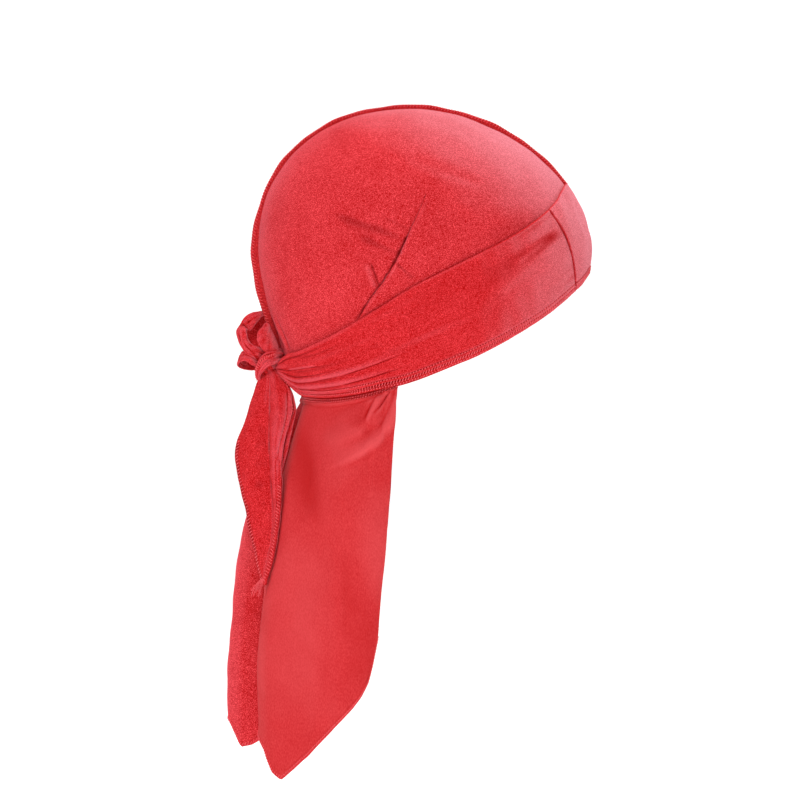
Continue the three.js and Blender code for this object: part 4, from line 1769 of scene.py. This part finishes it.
@dataclass(frozen=True)
class Ribbon:
    """A strip of velvet, as rows of its two edges along its way.

    Each row is the first edge (x, y, z), the second edge (x, y, z), and how far the strip swells
    out between them.
    """

    name: str
    flat: tuple[float, float]
    area: float
    rows: tuple[tuple[float, ...], ...]
    cloth: float = 1.3
    wrinkle: float = 0.16
    steps: int = 12

    def sheet(self, seed: int) -> Sheet:
        """Lays out the strip.

        Args:
            seed: the seed of its wrinkles.

        Returns:
            Its middle sheet, with the outward side away from its own middle.
        """
        table = CurveTable([(i, *row) for i, row in enumerate(self.rows)], Ending.STRAIGHT)
        last = len(self.rows) - 1
        u, v = np.meshgrid(np.linspace(0, last, last * self.steps + 1), rim_steps(30, 14),
                           indexing="ij")
        ax, ay, az, bx, by, bz, swell = table(u)
        first, second = np.stack([ax, ay, az], -1), np.stack([bx, by, bz], -1)
        points = mixed(first, second, v[..., None])
        sheet = Sheet(points, self.cloth, 1)
        heart = points.reshape(-1, 3).mean(0)
        if ((sheet.normals() * (points - heart)).sum(-1)).mean() < 0:
            sheet.outward = -1
        bulge = swell * np.sqrt(np.clip(1 - (2 * v - 1) ** 2, 0, 1)) ** 1.3
        ripple = self.wrinkle * (np.sin(v * 9 + u * 1.3 + seed) + 0.5 * np.sin(v * 17 - u * 2.3))
        ripple = ripple * np.sin(np.pi * v)
        return sheet.raised(bulge + ripple + Unevenness(0.22, 7.0, seed).at(points))

    def dress(self, piece: Piece, stands_for: str | None = None, rests_on: tuple[str, ...] = ()) -> None:
        """Hides the node that the strip's piece replaces, if any, and logs the piece.

        Args:
            piece: the piece.
            stands_for: the node that it replaces, if any.
            rests_on: the pieces that it lies on; not used.
        """
        if stands_for:
            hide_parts(stands_for)
        report(piece)


@dataclass
class Bow:
    """The knot, with its two wraps, and its three loops."""

    wardrobe: Wardrobe
    centre: Triple = (-85.6, -4.5, -151.6)
    stitch_line: float = 2.2
    loops: tuple[Ribbon, ...] = (
        Ribbon("bow_loop_upper", (0.012, 0.105), 0.00088, (
            (-91.5, -9, -150.7, -86.1, -9.5, -144.7, 0.5),
            (-96.8, -10.5, -147.4, -91.4, -11, -141.4, 1.2),
            (-100.4, -10.5, -142.9, -95.6, -12, -139.7, 1.6),
            (-103, -9.5, -138.1, -98.1, -12, -136.4, 1.8),
            (-104.6, -7.5, -133.3, -98.7, -11.5, -133.4, 1.8),
            (-104.4, -6, -130.3, -98.9, -10.5, -131.3, 1),
            (-102.7, -2, -126.9, -98.2, -5, -131.5, 0.2),
            (-100, -1, -123.2, -96.1, -5, -130.9, 1.2),
            (-96.4, 0, -121.2, -93.7, -4.5, -127.6, 1.6),
            (-92.5, 3, -120.4, -90.8, -2, -123.6, 1.2),
            (-89.6, 6, -120.4, -88.9, 3, -122.4, 0.8),
            (-87.4, 11, -122.2, -89.7, 8, -124.6, 0.5),
            (-85.6, 13, -129.4, -96.3, 9, -130.6, 0.8),
            (-85, 11, -137.2, -97.8, 7, -137.3, 0.8),
            (-84.1, 4, -142.8, -91.8, 0, -144, 0.5),
        )),
        Ribbon("bow_loop_inner", (0.011, 0.045), 0.00044, (
            (-87.2, -12, -144.7, -79.5, -10, -144.7, 1),
            (-90.4, -16, -140.6, -80.3, -12, -141.2, 2.2),
            (-92.3, -18, -137.1, -81.8, -12, -137, 2.6),
            (-91.8, -18, -132.9, -83.9, -12, -132.8, 2.6),
            (-89.7, -17, -129.9, -85.2, -12, -129.8, 2),
            (-87.7, -14, -128.5, -85.9, -11.5, -128.3, 1),
            (-89, -11, -130.4, -86.1, -9.5, -129.8, 1),
            (-91.4, -9, -135.8, -83.7, -8, -135.7, 1),
            (-88.5, -7, -142.9, -81.4, -7, -142.9, 1),
        )),
        Ribbon("bow_loop_lower", (0.010, 0.034), 0.00025, (
            (-92.7, -9, -148.3, -92, -11, -154, 0.8),
            (-96.2, -10, -145.9, -95.6, -12, -151.8, 1.5),
            (-99.3, -9, -143.7, -99.4, -12, -149.6, 1.6),
            (-100.8, -6, -144, -102.4, -10, -150.2, 1.2),
            (-101.3, -2, -145.2, -104, -6, -152.3, 0.8),
            (-100.5, 1, -146.4, -102.2, -2, -153.8, 0.8),
            (-98.5, 3, -147.6, -98.4, 0, -154.6, 0.8),
            (-93.7, 2, -148.8, -93, 0, -154.8, 0.5),
        )),
    )
    far_side: Ribbon = Ribbon("bow_loop_far_side", (0.020, 0.040), 0.00042, (
        (-95, 5, -122, -89.3, 5, -121.3, 0.2),
        (-99.3, 4, -126, -87.6, 5, -126, 0.5),
        (-101.3, 3, -131, -85.8, 5, -131, 0.6),
        (-100.3, 2, -136.5, -83.3, 4, -136, 0.6),
        (-95.8, 1, -142, -82, 3, -141.5, 0.4),
        (-91, 0, -146.5, -82, 1, -146, 0.2),
    ))
    wraps: tuple[Ribbon, ...] = (
        Ribbon("knot_wrap_outer", (0.010, 0.060), 0.00045, (
            (-92, -6, -160.8, -91, -7.5, -160.2, 0.3),
            (-93.2, -10, -157, -91.5, -12, -156.7, 1),
            (-92.7, -12.5, -152.8, -90.1, -14.5, -153.4, 1.2),
            (-90.3, -13.5, -148.3, -88.1, -16, -150.8, 1.3),
            (-87.6, -13.5, -145, -86, -16.5, -149.1, 1.3),
            (-83.9, -12.5, -143.2, -82.6, -15.5, -147.9, 1.2),
            (-79.8, -9, -142.2, -79.1, -12, -146.9, 1),
            (-77.9, -3, -143.4, -77.3, -4, -147.6, 0.8),
            (-79.9, 3, -143.4, -78.7, 3, -147.6, 0.8),
            (-85.4, 6, -144.5, -84.2, 6, -149.3, 0.8),
            (-90.2, 6, -149.3, -89, 6, -153, 0.8),
            (-92.3, 4, -154.8, -91.1, 3, -156.6, 0.8),
            (-92.5, -1, -158.7, -91.5, -2, -159, 0.5),
            (-92, -6, -160.8, -91, -7.5, -160.2, 0.3),
        ), 1.1, 0.12),
        Ribbon("knot_wrap_inner", (0.010, 0.056), 0.00034, (
            (-91.7, -7, -161.2, -91, -8, -160.6, 0.3),
            (-91.5, -11.5, -157, -90, -12.5, -157.3, 0.6),
            (-90.1, -13.5, -153.4, -87.8, -14.5, -154.6, 0.8),
            (-88, -15, -150.5, -85.1, -16, -152.5, 0.9),
            (-85.7, -15.5, -148.8, -82.7, -16, -151.6, 0.9),
            (-82.1, -14.5, -147.6, -80.4, -14, -151, 0.8),
            (-78.9, -10, -146.8, -78.3, -10, -150.1, 0.6),
            (-77.3, -3, -147.6, -76.7, -3, -150.6, 0.5),
            (-78.7, 3, -147.6, -78.1, 3, -151.2, 0.5),
            (-84.2, 5.5, -149.3, -83.6, 5.5, -153, 0.5),
            (-89, 5.5, -153, -88.4, 5.5, -156, 0.5),
            (-91.3, 3, -156.6, -90.4, 3, -158.4, 0.5),
            (-91.7, -2, -159.6, -91.1, -2, -159.6, 0.4),
            (-91.7, -7, -161.2, -91, -8, -160.6, 0.3),
        ), 1.1, 0.2),
    )

    def build(self) -> None:
        """Makes the loops, the wraps and the bundle inside them."""
        for number, loop in enumerate(self.loops):
            sheet = loop.sheet(60 + number).rounded(0.9)
            loop.dress(cloth_piece(f"{loop.name}_velvet", sheet, self.wardrobe.pressed), loop.name)
        sheet = self.far_side.sheet(66).rounded(0.9)
        piece = cloth_piece(f"{self.far_side.name}_velvet", sheet, self.wardrobe.pressed)
        self.far_side.dress(piece, rests_on=("bow_loop_upper_velvet",))
        for number, wrap in enumerate(self.wraps):
            sheet = wrap.sheet(70 + number).rounded(0.9, "vV")
            if number == 0:
                # Painted shade along the row of stitches.
                from_rim = sheet.rim_distance(1, True)
                sheet = sheet.toned(-0.5 * hump(from_rim, self.stitch_line, 0.9))
            piece = cloth_piece(f"{wrap.name}_velvet", sheet, self.wardrobe.pressed)
            weld(piece)
            if number == 0:
                self.stitch(wrap.name, sheet)
            wrap.dress(piece, None if number else "knot", ("strap_right_velvet",))
        self.core()

    def stitch(self, name: str, sheet: Sheet) -> None:
        """Sews a row of stitches along the middle of a wrap.

        Args:
            name: the wrap's name.
            sheet: the wrap.
        """
        line, across, up = sheet.line_at(self.stitch_line)
        stitches = Stitching(1.5, 1.9, 0.7, 35).sew(
            f"{name}_stitches", line, across, up, self.wardrobe.thread)
        ride_along(stitches)

    def core(self) -> None:
        """Makes the bundle of gathered cloth that the wraps hold."""
        along, turn = np.meshgrid(np.linspace(-1, 1, 31), np.linspace(0, 2 * np.pi, 73),
                                  indexing="ij")
        creased = 1 + 0.08 * np.sin(turn * 9 + along) + 0.05 * np.sin(turn * 5 + 2)
        size = creased * np.sqrt(np.clip(1 - 0.97 * along ** 2, 0, 1))
        long, near = np.array([0.56, 0, 0.83]), np.array([0.0, -1.0, 0.0])
        through = np.array([-0.83, 0, 0.56])
        out = np.cos(turn)[..., None] * long * 7.0 + np.sin(turn)[..., None] * near * 8.2
        points = np.array(self.centre) + out * size[..., None] + (along * 5.2)[..., None] * through
        rows, columns = points.shape[:2]
        faces = grid_faces(rows, columns, 0, False).tolist()
        ends = np.array([points[0].mean(0), points[-1].mean(0)])
        for j in range(columns - 1):
            faces.append([rows * columns, j, j + 1])
            last = (rows - 1) * columns
            faces.append([rows * columns + 1, last + j + 1, last + j])
        everything = np.concatenate([points.reshape(-1, 3), ends])
        piece = new_piece("knot_core", everything, faces, [self.wardrobe.pressed])
        weld(piece)
        ride_along(piece)


def strands(name: str, tubes: list[tuple[Array, Array]], thread: Material) -> Piece:
    """Makes loose threads as one mesh.

    Args:
        name: the piece's name.
        tubes: for each thread, the points along it and its radius at each.
        thread: the material.

    Returns:
        The object.
    """
    points, faces = [], []
    for line, radius in tubes:
        first = len(points)
        way = unit(np.gradient(line, axis=0))
        across = unit(np.cross(way, np.array([0.3, 1.0, 0.2])))
        up = np.cross(way, across)
        for k in range(len(line)):
            for s in range(THREAD_SIDES):
                turn = 2 * math.pi * s / THREAD_SIDES
                out = across[k] * math.cos(turn) + up[k] * math.sin(turn)
                points.append(line[k] + out * radius[k])
        faces += tube_faces(first, len(line), THREAD_SIDES)
    return new_piece(name, np.array(points), faces, [thread])


def spline(path: Array, share: Array) -> Array:
    """Reads a smooth line through points.

    Args:
        path: the points.
        share: from 0 at the first to 1 at the last.

    Returns:
        The positions.
    """
    rows = [(i, *point) for i, point in enumerate(path)]
    return np.stack(CurveTable(rows, Ending.STRAIGHT)(share * (len(path) - 1)), -1)


@dataclass
class StrapEnd:
    """The loose strap end that hangs from the knot, folded lengthwise."""

    wardrobe: Wardrobe
    cloth: float = 1.6
    top: float = 155.0
    tip: float = 284.0
    full_width: float = 24.0
    creases: tuple[Fold, ...] = (
        Fold(((-74.4, -166), (-74.1, -175.8), (-74.6, -183.5), (-76.4, -191.8), (-78.5, -200.1),
              (-80.3, -210.4)), -1.3, 0.8, 1, 0.2),
        Fold(((-72.8, -166), (-72.5, -175.8), (-73, -183.5), (-74.8, -191.8), (-76.9, -200.1),
              (-78.9, -212.4)), 0.8, 1, 1.4, 0.2),
        Fold(((-98, -190), (-97, -215), (-93, -240)), 0.5, 4, 4),
    )
    # Painted shade and highlight bands, with dark painted lines beside the creases.
    painted_shades: tuple[Fold, ...] = (
        Fold(((-86.5, -172), (-87.5, -195), (-87, -220), (-85.5, -246)), -0.3, 3, 6),
        Fold(((-80, -168), (-79.6, -186), (-79.8, -206), (-80.6, -222)), 0.4, 2.6, 2.2),
        Fold(((-84.8, -165), (-84.9, -187), (-84.6, -212), (-83, -238)), -0.8, 0.7, 0.7),
        Fold(((-74.6, -168), (-74.6, -183.5), (-76.6, -193), (-80.5, -212)), -0.6, 0.7, 0.8),
    )
    back_fold: Ribbon = Ribbon("strap_end_back_fold", (0.010, 0.056), 0.0004, (
        (-74, -13, -164.4, -78.2, -13, -163.3, 0.3),
        (-71.3, -16, -168.6, -76.4, -15, -168, 0.5),
        (-69.9, -18, -173.4, -75.7, -17, -172.8, 0.6),
        (-69, -19.5, -178.2, -75.7, -18, -177.6, 0.6),
        (-69.6, -20.5, -182.9, -76.2, -19, -182.9, 0.6),
        (-71, -21.5, -188.9, -77.4, -20, -188.9, 0.6),
        (-72.6, -23, -196.6, -78.6, -21, -196.6, 0.6),
        (-74.6, -24, -205.5, -80.3, -22, -205.5, 0.5),
        (-77.9, -24, -217.4, -81.5, -23, -217.4, 0.3),
    ))

    @staticmethod
    def levels() -> CurveTable:
        """Gives the strap end's edges and crease at each level.

        Returns:
            The table's curves.
        """
        return CurveTable([
            # depth, left, left out, crease, crease out, right, right out
            (155, -88.6, 6, -85.8, 9, -80.8, 8),
            (161, -91.4, 7, -84.6, 11, -77.2, 11),
            (167, -93.8, 8, -84.6, 13, -72.6, 15),
            (174.2, -96.2, 9, -84.6, 15, -71, 19),
            (180.2, -98, 10, -84.6, 17, -70.2, 22),
            (187.4, -100, 12, -84.6, 19, -72.4, 24),
            (200, -105, 14, -84.6, 21, -75.8, 26),
            (210.2, -105.4, 15, -84, 23, -77, 27),
            (228.2, -102, 17, -83, 24, -77, 30),
            (240.2, -99, 18, -81.8, 25, -77.8, 31),
            (252.2, -97, 20, -82.4, 26, -79.2, 32),
            (261.2, -94.2, 21, -83.6, 28, -80.6, 32),
            (270.2, -92.1, 23, -86, 29, -82.2, 32),
            (284, -89, 25, -87.5, 28, -86, 29),
        ])

    @staticmethod
    def folds() -> CurveTable:
        """Gives how far each fold stands out across the strap end.

        Returns:
            The table's curve.
        """
        return CurveTable([
            # across, out
            (-1, -0.8), (-0.75, 0.9), (-0.4, 1.4), (-0.12, 0.6), (-0.03, -0.6), (0, -2.6), (0.04, -0.4),
            (0.14, 1.8), (0.5, 2.0), (0.8, 0.6), (1, -0.4),
        ])

    def sheet(self) -> Sheet:
        """Lays out the strap end.

        Returns:
            Its middle sheet.
        """
        near = np.array([-0.06, -0.04, -0.025, -0.012, 0, 0.012, 0.025, 0.04, 0.06])
        u = np.unique(np.concatenate([rim_steps(84, 34) * 2 - 1, near]).round(6))
        u, v = np.meshgrid(u, rim_steps(170, 130), indexing="ij")
        depth = mixed(self.top, self.tip, v)
        left, left_out, crease, crease_out, right, right_out = self.levels()(depth)
        edge = np.where(u < 0, left, right)
        edge_out = np.where(u < 0, left_out, right_out)
        fullness = np.clip((right - left) / self.full_width, 0, 1)
        across = np.abs(u)
        out = mixed(crease_out, edge_out, across) + self.folds()(u)[0] * fullness
        points = np.stack([mixed(crease, edge, across), -out, FORM.cloth - depth], -1)
        sheet = Sheet(points, self.cloth, -1)
        height = Unevenness(0.3, 14.0, 71).at(points) + folded(points, self.creases)
        # Painted shade under the stitched edges, added to the painted bands.
        sewn = (1 - smooth(sheet.rim_distance(0, False), 2.9, 3.5)) * smooth(v, 0.32, 0.38)
        sewn += (1 - smooth(sheet.rim_distance(0, True), 2.7, 3.3)) * smooth(v, 0.52, 0.58)
        return sheet.raised(height * fullness).toned(folded(points, self.painted_shades) - 0.4 * sewn)

    def build(self) -> None:
        """Makes the strap end, the fold behind it, its stitched edges and its frayed tip."""
        sheet = self.sheet().rounded()
        piece = cloth_piece("strap_end_velvet", sheet, self.wardrobe.pressed)
        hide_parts("strap_end")
        report(piece)
        back = self.back_fold.sheet(81).rounded()
        piece = cloth_piece("strap_end_back_fold_velvet", back, self.wardrobe.pressed)
        self.back_fold.dress(piece, rests_on=("strap_end_velvet",))
        self.stitch(sheet)
        self.fray()

    def stitch(self, sheet: Sheet) -> None:
        """Sews slanted stitches along both edges where they show.

        Args:
            sheet: the strap end.
        """
        rows = (("left", False, 0.34, 0.99, Stitching(1.9, 2.9, 0.62, -32)),
                ("right", True, 0.1, 0.32, Stitching(1.9, 1.5, 0.6, 55)),
                ("right_low", True, 0.54, 0.98, Stitching(1.9, 2.6, 0.62, 32)))
        for word, last, start, end, sewing in rows:
            line, across, up = sheet.line_at(1.7, last, 0)
            part = slice(int(len(line) * start), int(len(line) * end))
            stitches = sewing.sew(f"strap_end_stitches_{word}", line[part], across[part], up[part],
                                  self.wardrobe.thread)
            ride_along(stitches)

    def fray(self) -> None:
        """Makes the tuft of loose thread at the tip."""
        chance = np.random.default_rng(7)
        start = np.array([-88.0, -28.0, -278.0])
        tubes = []
        for _ in range(26):
            end = start + np.array([chance.uniform(-7.5, 1.5), chance.uniform(-1.5, 2.0),
                                    chance.uniform(-11.5, -7.0)])
            bend = (start + end) / 2 + chance.normal(size=3) * np.array([1.6, 0.6, 1.2])
            share = np.linspace(0, 1, 12)[:, None]
            line = (1 - share) ** 2 * start + 2 * share * (1 - share) * bend + share ** 2 * end
            tubes.append((line, 0.26 * (1 - 0.5 * share[:, 0])))
        piece = strands("strap_end_fray", tubes, self.wardrobe.thread)
        ride_along(piece)


# The studio


@dataclass(frozen=True)
class Lamp:
    """A soft square light: where it hangs and its side in metres, and its power in watts."""

    name: str
    place: Triple
    size: float
    power: float

    def hang(self, target: Vector) -> None:
        """Hangs the light so that it looks at a target.

        Args:
            target: what it looks at, in metres.
        """
        data = bpy.data.lights.new(self.name, "AREA")
        data.shape, data.size, data.energy = "SQUARE", self.size, self.power
        lamp = bpy.data.objects.new(self.name, data)
        bpy.context.scene.collection.objects.link(lamp)
        lamp.location = self.place
        lamp.rotation_mode = "QUATERNION"
        lamp.rotation_quaternion = (target - Vector(self.place)).to_track_quat("-Z", "Y")


@dataclass
class Studio:
    """The sweep, the lights and the camera."""

    centre: Triple = (-7.2, 0.0, -172.8)
    distance: float = 2400.0
    floor: float = -470.0
    wall: float = 3600.0
    brightest: Triple = (0.62, -0.1, 0.78)
    lamps: tuple[Lamp, ...] = (
        Lamp("key_light", (-0.4, -1.9, 1.2), 0.9, 24.5),
        Lamp("right_light", (2.0, -0.1, 0.5), 1.2, 6.0),
        Lamp("top_light", (0.1, 0.1, 1.8), 1.0, 27.0),
        Lamp("back_light", (0.0, 2.0, 0.8), 1.2, 7.0),
        Lamp("left_light", (-1.9, -0.7, 0.4), 1.2, 7.0),
    )

    def build(self) -> None:
        """Sets the studio up."""
        self.sweep()
        for lamp in self.lamps:
            lamp.hang(Vector([c * MM for c in self.centre]))
        self.surroundings()
        self.camera()

    def sweep(self) -> None:
        """Makes the pale floor with its upward curve far behind."""
        wide, near, far, radius, steps = 4200.0, -3200.0, 2200.0, 900.0, 16
        profile = [(near, 0.0), (0.0, 0.0), (far, 0.0)]
        for k in range(1, steps + 1):
            angle = math.pi / 2 * k / steps
            profile.append((far + radius * math.sin(angle), radius * (1 - math.cos(angle))))
        profile.append((far + radius, self.wall))
        points, faces = [], []
        for y, z in profile:
            points += [(-wide, y, self.floor + z), (wide, y, self.floor + z)]
        for i in range(len(profile) - 1):
            faces.append([2 * i, 2 * i + 1, 2 * i + 3, 2 * i + 2])
        floor = new_piece("studio_sweep", np.array(points), faces, [StudioWhite().make()])

    def surroundings(self) -> None:
        """Fills the room with even white light, brighter where the camera looks past the cap."""
        world = bpy.data.worlds.new("white_room")
        bpy.context.scene.world = world
        world.use_nodes = True
        bench = Bench.on(world.node_tree)
        way = bench.node("ShaderNodeTexCoord").outputs["Generated"]
        towards = bench.node("ShaderNodeVectorMath", {"operation": "DOT_PRODUCT"},
                             {0: way, 1: self.brightest}).outputs["Value"]
        level = Signal(bench, towards) * 0.17 + 0.22
        white = paint((1.0, 1.0, 1.0))
        room = bench.node("ShaderNodeBackground", {}, {"Color": white, "Strength": level})
        seen = bench.node("ShaderNodeBackground", {}, {"Color": white, "Strength": 1.0})
        ray = bench.node("ShaderNodeLightPath").outputs["Is Camera Ray"]
        either = bench.node("ShaderNodeMixShader", {}, {
            0: ray, 1: room.outputs[0], 2: seen.outputs[0]})
        bench.node("ShaderNodeOutputWorld", {}, {"Surface": either.outputs[0]})

    def camera(self) -> None:
        """Puts the camera level with the cap, at its right side."""
        data = bpy.data.cameras.new("camera")
        data.sensor_width = 36.0
        data.lens = 180.0
        data.clip_end = 50.0
        camera = bpy.data.objects.new("camera", data)
        bpy.context.scene.collection.objects.link(camera)
        place = Vector(self.centre) * MM
        camera.location = place - Vector((0, self.distance * MM, 0))
        camera.rotation_euler = (math.radians(90), 0, 0)
        bpy.context.scene.camera = camera
        look = bpy.context.scene.view_settings
        look.view_transform = "Standard"
        look.look = "None"


def report(piece: Piece) -> None:
    """Logs a piece, and makes it ride on the cap's one body."""
    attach(piece, "root")
    log.info("%s: %d faces", piece.name, len(piece.data.polygons))


def ride_along(piece: Piece) -> None:
    """Gives a piece that replaces nothing its body."""
    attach(piece, "root")


def main() -> None:
    """Builds the cap piece by piece, then the studio."""
    logging.basicConfig(level=logging.INFO, format="%(message)s")
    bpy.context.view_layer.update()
    wardrobe = Wardrobe.filled()
    Crown(wardrobe).build()
    CentreSeam(wardrobe).build()
    Band(wardrobe).build()
    Tail(wardrobe).build()
    Bow(wardrobe).build()
    StrapEnd(wardrobe).build()
    Studio().build()


if __name__ == "__main__":
    main()
